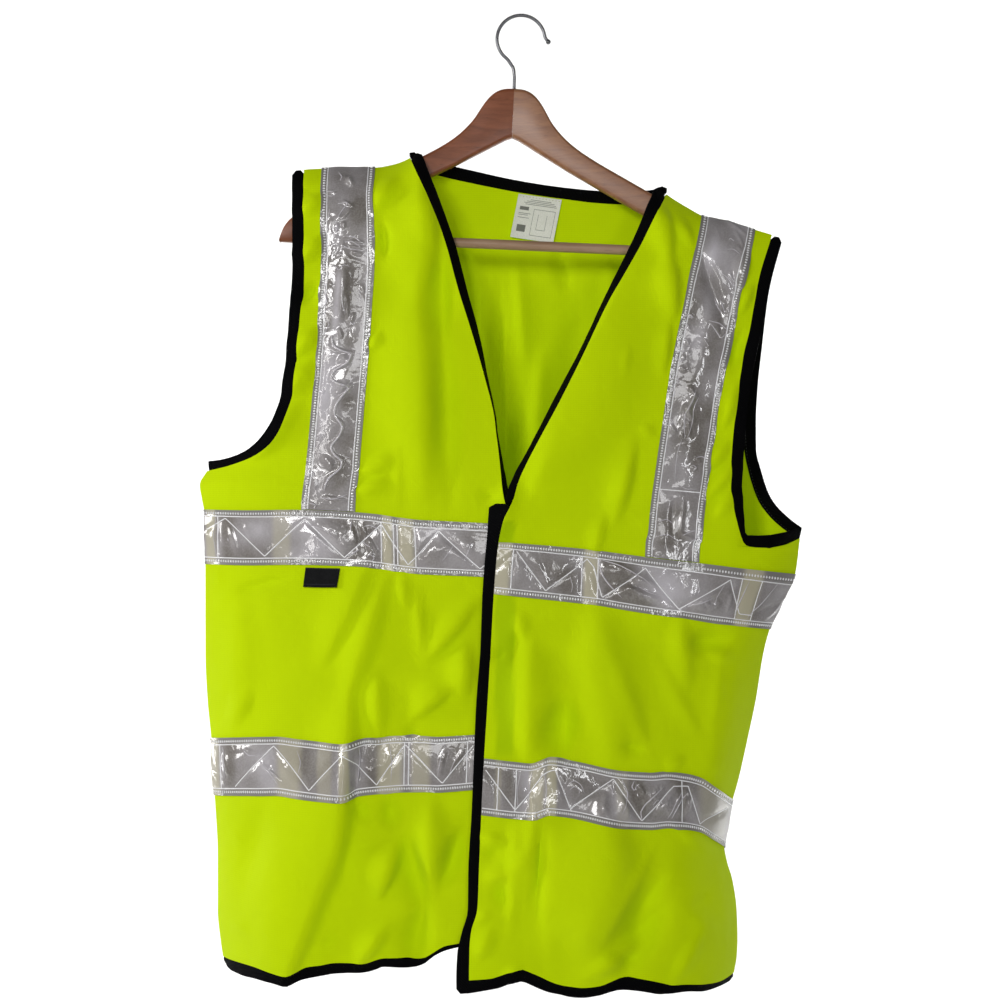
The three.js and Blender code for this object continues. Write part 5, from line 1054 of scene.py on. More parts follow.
def make_tape(name, facing, plan, cut, across, down, upright, marks, finish, materials, node):
    """A tape: its film on a fine grid, with its weld lines, pleats and beads as pieces of it.

    Rows of the grid run along the tape and columns across it.
    """
    x, z = plan(cut, across, down)
    points, normal = on_cloth(facing, x, z)
    count = x.shape[1]
    place_row = (-z if upright else x)[:, count // 2]
    up_row = np.linspace(0, TAPE_WIDTH, count)
    place, up = np.broadcast_arrays(place_row[:, None], up_row[None, :])
    film = film_height(place, up, marks, *finish)
    top = points + normal * (CLOTH + TAPE_LIFT + TAPE_WALL + film)[..., None]
    few = np.unique(np.linspace(0, count - 1, 9).astype(int))
    under = (points + normal * (CLOTH + TAPE_LIFT))[:, few]
    uv = np.stack([np.broadcast_to(np.linspace(0, 1, len(x))[:, None], x.shape), up / TAPE_WIDTH], -1)
    flat_uv = np.concatenate([uv.reshape(-1, 2), uv[:, few].reshape(-1, 2)])
    joint = np.zeros(x.shape)
    for at, half, amount in zip(*marks["joints"].values()):
        joint = np.maximum(joint, amount * (1 - smoothstep(abs(place - at), half * 0.55, half * 1.25)))
    rng = np.random.default_rng(marks["seed"] + 1)
    # The tone is the backing's own random grey plus the tones patches, which are painted sheen and painted
    # shade.
    tone_and_sheen = 0.16 + 0.2 * field(place, up, rng, 30, 120) + 0.55 * spread_patches(marks["tones"], place, up)
    border = 1 - smoothstep(up, 5, 6) * (1 - smoothstep(up, 44, 45))
    looks = {}
    for kind, amounts in (("joint", joint), ("tone_and_sheen", tone_and_sheen), ("border", border)):
        looks[kind] = np.concatenate([amounts.ravel(), amounts[:, few].ravel()])
    tape = add_piece(name, shell(top, under), materials["tape"], node, flat_uv, looks, smooth=70)

    rising = 1 if place_row[-1] > place_row[0] else -1
    rows = np.arange(len(place_row))

    def spots(places, ups, lift):
        """Points over the film, and its outward ways, at places along it and up it."""
        i = np.interp(places * rising, place_row * rising, rows)
        j = ups / TAPE_WIDTH * (count - 1)
        out = unit(at_places(normal, i, j))
        return at_places(top, i, j) + out * lift, out

    first, last = sorted((place_row[0], place_row[-1]))
    lines = weld_lines(spots, marks, first, last)
    pieces = [tape, add_piece(f"{name}_weld_lines", lines, materials["weld"], None)]
    pleats = pleats_of(spots, marks, first, last)
    if pleats:
        # Pleats are drawn at a pale tone: a painted highlight along each ridge, over the gloss that they
        # catch.
        looks = {"tone_and_sheen": np.full(len(pleats[0]), 0.9)}
        pieces.append(add_piece(f"{name}_pleats", pleats, materials["tape"], None, None, looks))
    length = np.linalg.norm(np.diff(top[:, 0], axis=0), axis=1).sum()
    dots = bead_rows(spots, first, last, length)
    pieces.insert(2, add_piece(f"{name}_beads", dots, materials["bead"], None))
    return pieces


# ---------------------------------------------------------------- bindings
BINDING = rounded(16, 1, 1, 0.45)
STITCH_PITCH = 3.1
BINDING_FINE = 4.0


def edge_points(facing, edge, down):
    """The cloth's edge and the binding's free edge at sections of an edge table."""
    cloth, _ = on_cloth(facing, value(edge, "x", down), value(edge, "z", down))
    free, _ = on_cloth(facing, value(edge, "free_x", down), value(edge, "free_z", down))
    if "tuck" in edge:
        free[:, 1] += value(edge, "tuck", down) * (-1 if facing == "back" else 1)
    return cloth, free


def hem_points(facing, line, x):
    cloth, _ = on_cloth(facing, x, value(line, "z", x))
    free, _ = on_cloth(facing, x, value(line, "free_z", x))
    return cloth, free


def softened(vectors, reach=3):
    """Each vector as the mean of its neighbours, so that a strip turns corners without a kink."""
    padded = np.concatenate([[vectors[0]] * reach, vectors, [vectors[-1]] * reach])
    window = np.ones(2 * reach + 1) / (2 * reach + 1)
    return unit(np.stack([np.convolve(padded[:, k], window, "valid") for k in range(3)], -1))


def make_binding(name, cloth, free, flip, materials, node, taper=2.5):
    """A strip folded over the cloth's edge, with the stitches along its inner edge, on the side that shows.

    Its section is a superellipse, as wide as the strip, whose thickness puckers a little between stitches.
    """
    path = (cloth + free) / 2
    width = np.linalg.norm(free - cloth, axis=1) / 2 + 0.6
    across = softened(unit(free - cloth))
    out = softened(flip * unit(np.cross(tangents(path), across)))
    path = path + out * CLOTH / 2
    long = distances(path)
    pucker = 1 + 0.07 * np.sin(long / 5.3) + 0.05 * np.sin(long / 2.9 + 1)
    ends = np.sqrt(np.clip(np.minimum(long, long[-1] - long) / taper, 0.2, 1))
    section = BINDING[None] * np.stack([width * ends, BINDING_THICKNESS / 2 * pucker], -1)[:, None]
    points, faces = sweep(path, across, out, section)
    around = np.linspace(0, 1, len(BINDING), endpoint=False)
    grid_u, grid_v = np.broadcast_arrays(long[:, None] / long[-1], around[None])
    uv = np.stack([grid_u, grid_v], -1).reshape(-1, 2)
    strip = add_piece(name, (points, faces), materials["binding"], node, uv)
    at = np.arange(2, long[-1] - 2, STITCH_PITCH)
    inner = path - across * (width * 0.62)[:, None] + out * (BINDING_THICKNESS / 2 * 0.93)
    centres = at_distances(long, at, inner)
    up = unit(at_distances(long, at, out))
    thread = beads(centres, tangents(centres), up, 1.1, 0.32, 0.3)
    stitches = add_piece(f"{name}_stitches", thread, materials["thread"], None)
    return [strip, stitches]


# ---------------------------------------------------------------- labels
LABEL_STITCH = (1.0, 0.3, 0.35)


def patch(facing, place, columns, rows):
    """A slanted patch of the cloth's form between two top corners."""
    (x0, z0), (x1, z1) = place["left"], place["right"]
    across, down = np.meshgrid(np.linspace(0, 1, columns), np.linspace(0, 1, rows))
    x = mix(x0, x1, across) + place["slant"] * down * place["height"]
    z = mix(z0, z1, across) - down * place["height"]
    points, normal = on_cloth(facing, x, z)
    return points, normal, across, down


def make_label(name, facing, place, side, bow, wall, material, thread, node):
    """A woven label: a thin patch, sewn along its top, whose free end stands off the cloth by its bow."""
    points, normal, across, down = patch(facing, place, 30, 26)
    lift = bow * (0.25 + 0.75 * down**1.5) + 0.5 * bow * down * (2 * across - 1) ** 2
    edge = np.minimum(np.minimum(across, 1 - across), np.minimum(down, 1 - down))
    rim = 0.18 * (1 - smoothstep(edge, 0.03, 0.06))
    base = CLOTH if side > 0 else 0
    near = points + side * normal * (base + 0.2 + lift)[..., None]
    far = near + side * normal * (wall + rim)[..., None]
    uv = np.stack([across, 1 - down], -1).reshape(-1, 2)
    label = add_piece(name, shell(far, near), material, node, np.tile(uv, (2, 1)))
    row = points[1] + side * normal[1] * (base + 0.25 + wall + 0.3 * bow)
    at = np.linspace(0.05, 0.95, 13)
    run = np.linspace(0, 1, len(row))
    centres = at_distances(run, at, row)
    out = np.broadcast_to(side * unit(normal[1].mean(0)), centres.shape)
    shape = beads(centres, tangents(centres), out, *LABEL_STITCH)
    return [label, add_piece(f"{name}_stitches", shape, thread, None)]


# ---------------------------------------------------------------- hanger
ACROSS, FORWARD, UP = np.eye(3)
HALF_JOINT = 0.03  # from the middle of the glued joint to each arm


def every(path, way):
    """One way for every point of a path."""
    return np.broadcast_to(way, path.shape)


def bezier(points, count):
    """A Bezier curve through de Casteljau's repeated mixing of its control points."""
    t = np.linspace(0, 1, count)[:, None]
    level = [np.broadcast_to(np.array(p, float), (count, 2)) for p in points]
    while len(level) > 1:
        level = [mix(a, b, t) for a, b in zip(level[:-1], level[1:])]
    return level[0]


ARM_TOP = np.concatenate(
    [[(0, 0)], bezier([(6, -0.4), (24, -2), (30, -22), (38, -33)], 16),
    bezier([(38, -33), (50, -49), (62, -57.5), (84, -70.3)], 14)[1:],
    bezier([(84, -70.3), (199, -133)], 24)[1:], bezier([(199, -133), (212, -141), (214, -159.5)], 14)[1:]])
ARM_FOOT = np.array([(0, -47), (2, -47), (54, -78), (128, -118.5), (197, -159.5), (214, -159.5)], float)


def rounded_board(half_height, half_thickness, radius):
    """Sections of a board with rounded edges: a quarter circle at each corner, smaller where it is thin."""
    turn = np.linspace(0, np.pi / 2, 6)
    corners = [(1, 1, 0), (-1, 1, 1), (-1, -1, 2), (1, -1, 3)]
    bend = np.minimum(radius, half_height * 0.95)[:, None]
    parts = []
    for x_side, z_side, quarter in corners:
        angle = turn + quarter * np.pi / 2
        x = x_side * (half_thickness - bend) + bend * np.cos(angle)
        z = z_side * (half_height[:, None] - bend) + bend * np.sin(angle)
        parts.append(np.stack([x, z], -1))
    return np.concatenate(parts, 1)


def hung(points, sweep=0):
    """From the hanger's own frame to the vest's: sheared forwards by its sweep, rolled about Y and moved."""
    x, y, z = points.T
    cos, sin = math.cos(HANGER_ROLL), math.sin(HANGER_ROLL)
    return np.stack([x * cos + z * sin, y - sweep * abs(x), z * cos - x * sin], -1) + HANGER_CENTRE


def make_arm(name, out, material, node):
    """One half of the hanger: upright sections between its top and foot outlines, closed at the joint."""
    x = np.unique(np.round(ARM_TOP[:, 0], 3))[:-1]
    top = np.interp(x, ARM_TOP[:, 0], ARM_TOP[:, 1])
    foot = np.interp(x, ARM_FOOT[:, 0], ARM_FOOT[:, 1])
    x = np.maximum(x, HALF_JOINT)
    section = rounded_board((top - foot) / 2, HANGER_THICKNESS / 2, HANGER_EDGE)
    path = np.stack([out * x, 0 * x, (top + foot) / 2], -1)
    points, faces = sweep(path, every(path, FORWARD), every(path, UP), section)
    return add_piece(name, (hung(points, HANGER_SWEEP), faces), material, node, smooth=40)


def make_crossbar(name, material, node):
    """A turned dowel: circles along a line, a hair uneven from sanding."""
    x = spread([-CROSSBAR_HALF, CROSSBAR_HALF], 4)
    path = np.stack([x, np.full_like(x, -HANGER_SWEEP * 195), np.full_like(x, -CROSSBAR_DROP)], -1)
    section = rounded(24, 1, 1, 1)[None] * (CROSSBAR_RADIUS * (1 + 0.012 * np.sin(x / 31)))[:, None, None]
    points, faces = sweep(path, every(path, FORWARD), every(path, UP), section)
    return add_piece(name, (hung(points), faces), material, node)


def make_hook(name, material, node):
    """Bent wire: up out of the wood, round most of a circle and out to a small ball at its tip."""
    lean = math.sin(HANGER_ROLL) * 25
    cx, _, cz = HANGER_CENTRE
    turn = np.radians(np.linspace(236, 4, 60))
    middle = -(HOOK_RADIUS - HOOK_WIRE)
    arc = np.stack([HOOK_RADIUS * np.cos(turn), 0 * turn, HOOK_RADIUS * np.sin(turn) + middle], -1)
    knots = np.array([(cx - lean, 0, cz - 24), (cx, 0, cz), (cx + 0.3, 0, cz + 12), (cx - 0.6, 0, cz + 20)])
    tip = np.array([(HOOK_RADIUS + 3.2, 0, middle - 2.5)])
    rough = np.concatenate([knots, arc, tip])
    run = distances(rough)
    path = rounded_off(at_distances(run, np.linspace(0, run[-1], 150), rough), 4)
    side = every(path, FORWARD)
    wire = sweep(path, side, unit(np.cross(side, tangents(path))), rounded(14, 1, 1, 1) * HOOK_WIRE)
    around = np.linspace(0, np.pi, 12)[1:-1]
    radius = HOOK_WIRE + 0.8
    line = path[-1] - radius * np.cos(around)[:, None] * UP
    ball = sweep(
        line, every(line, ACROSS), every(line, FORWARD),
        rounded(16, 1, 1, 1)[None] * (radius * np.sin(around))[:, None, None])
    return add_piece(name, joined([wire, ball]), material, node)


# ---------------------------------------------------------------- materials
WAVE_AT_ONE = 0.314  # spacing of a wave texture's bands at a scale of 1, in m


def linear(code, shade=1):
    """An sRGB hex value as linear red, green, blue, made darker by a shade, and an alpha of 1."""
    parts = [int(code[i : i + 2], 16) / 255 for i in (1, 3, 5)]
    return [shade * (c / 12.92 if c <= 0.04045 else ((c + 0.055) / 1.055) ** 2.4) for c in parts] + [1]


def add_node(tree, kind, inputs, output=0, **settings):
    """One node from its settings by name and its inputs, each a value or the output that feeds it."""
    made = tree.nodes.new(kind)
    for name, setting in settings.items():
        setattr(made, name, setting)
    for name, given in inputs.items():
        if isinstance(given, bpy.types.NodeSocket):
            tree.links.new(given, made.inputs[name])
        else:
            made.inputs[name].default_value = given
    return made.outputs[output]


def start_material(name, **constants):
    """A material with one Principled shader whose constants are set on its own sockets, and its place."""
    material = bpy.data.materials.new(name)
    material.use_nodes = True
    tree = material.node_tree
    tree.nodes.clear()
    names = {key.replace("_", " ").title().replace("Ior", "IOR"): given for key, given in constants.items()}
    surface = add_node(tree, "ShaderNodeBsdfPrincipled", names)
    out = tree.nodes.new("ShaderNodeOutputMaterial")
    tree.links.new(surface, out.inputs["Surface"])
    place = add_node(tree, "ShaderNodeTexCoord", {}, "Object")
    return material, tree, surface.node, place


def link(tree, shader, **outputs):
    """Links outputs to the shader's sockets, named with underscores."""
    for name, output in outputs.items():
        tree.links.new(output, shader.inputs[name.replace("_", " ").title()])


def noise(tree, place, scale, detail, **more):
    inputs = {"Vector": place, "Scale": scale, "Detail": detail}
    inputs.update({name.title(): given for name, given in more.items()})
    return add_node(tree, "ShaderNodeTexNoise", inputs, "Fac")


def bands(tree, place, apart, way, **more):
    """Bands of light and dark, a distance apart in metres, across one way."""
    values = {name.replace("_", " ").title(): given for name, given in more.items()}
    values = {"Vector": place, "Scale": WAVE_AT_ONE / apart, **values}
    return add_node(tree, "ShaderNodeTexWave", values, "Fac", bands_direction=way)


def looks_at(tree, name):
    """What a mesh's own attribute says at each point."""
    return add_node(tree, "ShaderNodeAttribute", {}, "Fac", attribute_name=name)


def ranged(tree, amount, low, high, start=0.0, end=1.0):
    """An amount between start and end, as one between low and high."""
    limits = {"Value": amount, "From Min": start, "From Max": end, "To Min": low, "To Max": high}
    return add_node(tree, "ShaderNodeMapRange", limits)


def maths(tree, operation, *numbers):
    return add_node(tree, "ShaderNodeMath", dict(enumerate(numbers)), operation=operation)


def blend(tree, share, first, last):
    """The first colour where the share is 0 and the last where it is 1."""
    return add_node(tree, "ShaderNodeMix", {0: share, 6: first, 7: last}, 2, data_type="RGBA")


def bump(tree, height, strength, distance, **under):
    inputs = {"Strength": strength, "Distance": distance, "Height": height}
    inputs.update({name.title(): given for name, given in under.items()})
    return add_node(tree, "ShaderNodeBump", inputs)


def knit_cloth(colour):
    """Warp-knitted fluorescent polyester: an even, matt cloth with fine upright wales. A constant glow,
    painted light, lifts it a little past its lit colour, in shade too. Its wales are 0.7 mm apart, drawn 1.5
    mm apart so that they show."""
    # The emission is painted light: a constant glow, apart from the lamps, that lightens the cloth where it
    # lies in shade.
    material, tree, shader, place = start_material(
        "fluorescent_knitted_polyester", sheen_weight=0.015, sheen_roughness=0.5, specular_ior_level=0.06,
        emission_strength=0.06)
    wales = bands(tree, place, 0.0015, "X", distortion=1.2, detail=1, detail_scale=0.6)
    courses = bands(tree, place, 0.0019, "Z", distortion=1.5, detail=1, detail_scale=0.6)
    knit = maths(tree, "MULTIPLY", wales, courses)
    fuzz = noise(tree, place, 700, 3)
    crinkle = noise(tree, place, 42, 3, distortion=0.6)
    worn = blend(tree, noise(tree, place, 14, 2), linear(colour["lit"]), linear(colour["deep"]))
    grained = blend(tree, ranged(tree, knit, 0.0, 0.3), worn, linear(colour["gap"]))
    # Where the under attribute is set, the cloth turns a darker green: painted shade over the strip behind
    # the right front's edge.
    share = maths(tree, "MULTIPLY", looks_at(tree, "under"), 0.75)
    stripe_shaded = blend(tree, share, grained, linear(colour["stripe_shaded"]))
    fine = bump(tree, maths(tree, "MULTIPLY_ADD", knit, 0.5, fuzz), 0.35, 0.0003)
    creased = bump(tree, crinkle, 0.5, 0.0022, normal=fine)
    rough = ranged(tree, fuzz, 0.72, 0.9)
    link(tree, shader, base_color=stripe_shaded, emission_color=stripe_shaded, roughness=rough, normal=creased)
    return material


def prismatic_film(colour):
    """Clear PVC film over a pale prismatic backing: a soft grey seen through a glossy, wrinkled sheet. At its
    joints the backing ends, and the film lies on the cloth, whose yellow shows through it."""
    material, tree, shader, place = start_material(
        "clear_pvc_over_prismatic_backing", coat_weight=1.0, coat_roughness=0.07, coat_ior=1.5,
        metallic=0.0, specular_ior_level=0.35)
    cloudy = noise(tree, place, 55, 3, distortion=0.4)
    # Tone runs the backing from its dark colour to its pale, lit colour: where it is high the film shows
    # painted sheen, over its own uneven grey.
    level = maths(tree, "MULTIPLY_ADD", cloudy, 0.45, looks_at(tree, "tone_and_sheen"))
    level = ranged(tree, level, 0.0, 1.0, 0.0, 1.25)
    backing = blend(tree, level, linear(colour["dark"]), linear(colour["pale"]))
    cells = add_node(tree, "ShaderNodeTexVoronoi", {"Scale": 1 / 0.0016, "Vector": place}, "Distance")
    sparkling = blend(tree, ranged(tree, cells, -0.03, 0.09), backing, [1, 1, 1, 1])
    welded = blend(tree, looks_at(tree, "border"), sparkling, linear(colour["border"]))
    through = blend(tree, looks_at(tree, "joint"), welded, linear(colour["joint"]))
    ripple = bump(tree, noise(tree, place, 90, 2, distortion=0.8), 0.5, 0.0009)
    link(tree, shader, base_color=through, roughness=ranged(tree, cloudy, 0.32, 0.5), coat_normal=ripple)
    return material


def welded_vinyl(colour, name, gloss):
    """PVC film melted onto its backing: it turns milky, and catches the light as small lines or dots."""
    material, tree, shader, place = start_material(name, coat_weight=0.8, coat_roughness=gloss)
    speck = noise(tree, place, 420, 2)
    mottled = blend(tree, speck, linear(colour["weld"]), linear(colour["weld_shade"]))
    link(tree, shader, base_color=mottled, roughness=ranged(tree, speck, 0.3, 0.5))
    return material


def bias_tape(colour):
    """Woven black polyester tape, cut on the bias: diagonal ribs, a dusty bluish sheen where it turns.
    The ribs are 0.6 mm apart, drawn 1.3 mm apart so that they show."""
    material, tree, shader, place = start_material(
        "black_polyester_bias_tape", sheen_weight=0.01, sheen_roughness=0.45,
        sheen_tint=linear(colour["sheen"]), specular_ior_level=0.05)
    ribs = bands(tree, place, 0.0013, "DIAGONAL", distortion=1)
    dust = noise(tree, place, 60, 4)
    woven = blend(tree, maths(tree, "MULTIPLY", ribs, dust), linear(colour["deep"]), linear(colour["thread"]))
    rough = ranged(tree, dust, 0.65, 0.85)
    link(tree, shader, base_color=woven, roughness=rough, normal=bump(tree, ribs, 0.5, 0.0004))
    return material


def sewing_thread(code, name):
    """Twisted polyester thread: a fine, slightly shiny twist across each stitch, drawn 0.8 mm apart."""
    material, tree, shader, place = start_material(name, sheen_weight=0.3)
    twist = bands(tree, place, 0.0008, "DIAGONAL")
    twisted = blend(tree, twist, linear(code), linear(code, 0.7))
    link(tree, shader, base_color=twisted, roughness=ranged(tree, twist, 0.45, 0.65))
    return material


def woven_label(name, ground, pick, rule, rules, size):
    """Taffeta label: fine threads both ways and a smooth, slightly shiny face, with plain bars woven into it.
    Its threads are 0.3 mm apart, drawn 0.9 mm apart so that they show."""
    width, height = size
    material, tree, shader, place = start_material(name, sheen_weight=0.03, specular_ior_level=0.12)
    own = add_node(tree, "ShaderNodeTexCoord", {}, "UV")
    weave = {
        "Color1": linear(ground), "Color2": linear(pick), "Mortar": linear(pick), "Scale": 1.0,
        "Vector": own, "Brick Width": 0.9 / width, "Row Height": 0.9 / height, "Mortar Size": 0.12 / height}
    face = add_node(tree, "ShaderNodeTexBrick", weave, "Color")
    threads = face.node.outputs["Fac"]
    x, y, _ = add_node(tree, "ShaderNodeSeparateXYZ", {0: own}).node.outputs
    for low, high, left, right in rules:
        above, below = maths(tree, "GREATER_THAN", y, low), maths(tree, "LESS_THAN", y, high)
        after, before = maths(tree, "GREATER_THAN", x, left), maths(tree, "LESS_THAN", x, right)
        level, upright = maths(tree, "MULTIPLY", above, below), maths(tree, "MULTIPLY", after, before)
        face = blend(tree, maths(tree, "MULTIPLY", level, upright), face, linear(rule))
    soft = noise(tree, place, 90, 3)
    raised = bump(tree, soft, 0.4, 0.001, normal=bump(tree, threads, 0.4, 0.0003))
    link(tree, shader, base_color=face, roughness=ranged(tree, soft, 0.5, 0.7), normal=raised)
    return material


def stained_wood(name, pale, dark, slope, ring, coat):
    """Turned or planed beech under thin lacquer: long streaks of grain along the piece, short dark flecks
    and a soft shine. Rings are a few mm apart, and the slope is how the piece lies in x and z."""
    material, tree, shader, place = start_material(
        name, coat_weight=coat, coat_roughness=0.22, specular_ior_level=0.4)
    lie = {"Vector": place, "Rotation": (0, slope, 0), "Scale": (0.09, 1, 1)}
    along = add_node(tree, "ShaderNodeMapping", lie)
    grain = noise(tree, along, 1 / ring, 5, roughness=0.6, distortion=0.7)
    fleck = noise(tree, along, 900, 2, distortion=0.2)
    tinted = blend(tree, ranged(tree, grain, 0.0, 1.0, 0.3, 0.7), linear(dark), linear(pale))
    flecked = blend(tree, ranged(tree, fleck, 0.0, 0.55, 0.62, 0.8), tinted, linear(dark, 0.45))
    rough = ranged(tree, grain, 0.35, 0.55)
    link(tree, shader, base_color=flecked, roughness=rough, normal=bump(tree, fleck, 0.25, 0.0003))
    return material


def drawn_steel(code):
    """Nickel-plated steel wire: a dull dark mirror with faint lengthwise drawing marks."""
    material, tree, shader, place = start_material("nickel_plated_steel_wire", metallic=1.0)
    marks = noise(tree, place, 600, 3, distortion=0.5)
    shaded = blend(tree, marks, linear(code), linear(code, 0.6))
    link(tree, shader, base_color=shaded, roughness=ranged(tree, marks, 0.18, 0.4))
    return material


def studio_paper(code):
    """Matt seamless paper: an even pale ground."""
    material, tree, shader, place = start_material("seamless_paper", specular_ior_level=0.1, roughness=0.95)
    fibres = noise(tree, place, 300, 2)
    link(tree, shader, base_color=blend(tree, fibres, linear(code), linear(code, 0.985)))
    return material


# ---------------------------------------------------------------- settings
def colour_setting(name, description, code):
    return FloatVectorProperty(
        name=name, description=description, subtype="COLOR_GAMMA", size=3, min=0, max=1,
        default=[int(code[i : i + 2], 16) / 255 for i in (1, 3, 5)])


def height_setting(name, description, metres):
    return FloatProperty(name=name, description=description, default=metres, min=0, unit="LENGTH")


def as_code(colour):
    return "#" + "".join(f"{round(part * 255):02x}" for part in colour)


class VestColours(PropertyGroup):
    cloth_lit: colour_setting("Cloth", "Fluorescent cloth where it is cleanest", "#c6e200")
    cloth_deep: colour_setting("Cloth, worn", "Fluorescent cloth where it is a little dull", "#bbd700")
    film_dark: colour_setting("Tape, dark", "Prismatic backing at its darkest", "#6c6660")
    # The pale tape colour is the backing's lit colour, used for painted sheen.
    film_pale: colour_setting("Tape, pale", "Prismatic backing at its palest", "#c6c2c8")
    film_joint: colour_setting("Tape joint", "Film where its backing ends and the cloth shows", "#beb89e")
    binding: colour_setting("Binding", "Black bias tape round every edge", "#010102")
    # The two arms are one stained beech: the left arm's darker colour is painted shade and the right arm's
    # lighter colour is painted light, the left arm turned from the light and the right one towards it.
    wood_painted_shade: colour_setting("Left arm", "Stained wood of the left arm", "#945637")
    wood_painted_lit: colour_setting("Right arm", "Stained wood of the right arm", "#a0714f")


class VestSizes(PropertyGroup):
    film_bulge: height_setting("Film bulge", "How far the film stands off its backing", 0.0009)
    film_wave: height_setting("Film waves", "Height of the film's long waves", 0.00045)
    film_crumple: height_setting("Film creases", "Height of the film's thin creases", 0.00025)


MATERIALS = {}


def materials():
    """Every material, made once from the colours in the sidebar."""
    if MATERIALS:
        return MATERIALS
    c = bpy.context.scene.vest_colours
    # The darker green #a2c400 is painted shade for the stripe over the strip behind the right front's edge.
    cloth = {"lit": as_code(c.cloth_lit), "deep": as_code(c.cloth_deep), "gap": "#a3bd00", "stripe_shaded": "#a2c400"}
    film = {
        "dark": as_code(c.film_dark), "pale": as_code(c.film_pale), "joint": as_code(c.film_joint),
        "border": "#85827f"}
    weld = {"weld": "#ffffff", "weld_shade": "#e6e6ea"}
    MATERIALS.update(
        {"cloth": knit_cloth(cloth), "tape": prismatic_film(film),
        "weld": welded_vinyl(weld, "white_welded_pvc", 0.2),
        "bead": welded_vinyl({"weld": "#fafafa", "weld_shade": "#d6d6da"}, "clear_weld_beads", 0.06),
        "binding": bias_tape({"deep": as_code(c.binding), "thread": "#06060a", "sheen": "#5a6480"}),
        "thread": sewing_thread("#1d1f29", "black_sewing_thread"),
        "label_thread": sewing_thread("#c9c9a0", "cream_sewing_thread"),
        "label": woven_label("cream_woven_label", "#f6f6ee", "#e4e6da", "#7a7c74", LABEL_RULES, (41.5, 41)),
        "tab": woven_label("black_woven_label", "#020203", "#06070a", "#1c1d24", TAB_RULES, (32, 18)),
        # Lit and shaded copies of one stained beech: painted shade on the left arm, painted light on the
        # right.
        "dark_wood": stained_wood(
            "beech_with_painted_shade", as_code(c.wood_painted_shade), "#743e22", 0.52, 0.006, 0.25),
        "light_wood": stained_wood(
            "beech_with_painted_light", as_code(c.wood_painted_lit), "#80543a", -0.52, 0.006, 0.2),
        "dowel": stained_wood("bare_beech_dowel", "#b4967a", "#947459", 0, 0.009, 0.1),
        "steel": drawn_steel("#77777a")})
    return MATERIALS


LABEL_RULES = [
    (0.9, 0.912, 0.3, 0.78), (0.865, 0.877, 0.22, 0.86), (0.83, 0.842, 0.16, 0.9),
    (0.795, 0.807, 0.2, 0.92), (0.66, 0.74, 0.09, 0.3), (0.58, 0.592, 0.08, 0.36),
    (0.545, 0.557, 0.08, 0.3), (0.48, 0.492, 0.08, 0.34), (0.1, 0.11, 0.42, 0.92), (0.7, 0.71, 0.42, 0.92),
    (0.1, 0.71, 0.42, 0.428), (0.1, 0.71, 0.912, 0.92), (0.24, 0.6, 0.54, 0.548), (0.24, 0.6, 0.74, 0.748),
    (0.24, 0.25, 0.54, 0.748), (0.16, 0.32, 0.1, 0.3)]
TAB_RULES = [(0.12, 0.17, 0.05, 0.95)]


# ---------------------------------------------------------------- operators
FRONTS = {"left": LEFT, "right": RIGHT}
SEWN = {"left": [], "right": [], "back": []}  # what is sewn to each panel
FRONT_FINE = 0.8  # mm between the points of a tape
BACK_FINE = 1.6
BACK_TIP = 288  # where the back's armholes end
CORNER_LAP = 9.0  # of the right front's hem binding under its edge strip
BLUNT, POINTED = 0.3, 2.5  # how long the taper of a binding's end is


class VEST_OT_panels(Operator):
    """Builds the two fronts and the back, each as one hanging sheet of knitted cloth"""

    bl_idname = "vest.panels"
    bl_label = "Cloth panels"

    def execute(self, context):
        cloth = materials()["cloth"]
        for facing, front in FRONTS.items():
            down = panel_rows([front["tip"], front["chest_top"], front["hem_start"], front["hem"]])
            place = (facing, front_plan, front, front_columns(), down)
            make_panel(f"cloth_front_{facing}", *place, cloth, f"front_{facing}")
        down = panel_rows([BACK_TIP, BACK["chest_top"], BACK["hem_start"], BACK["hem"]])
        make_panel("cloth_back", "back", back_plan, BACK, back_columns(), down, cloth, "back")
        return {"FINISHED"}


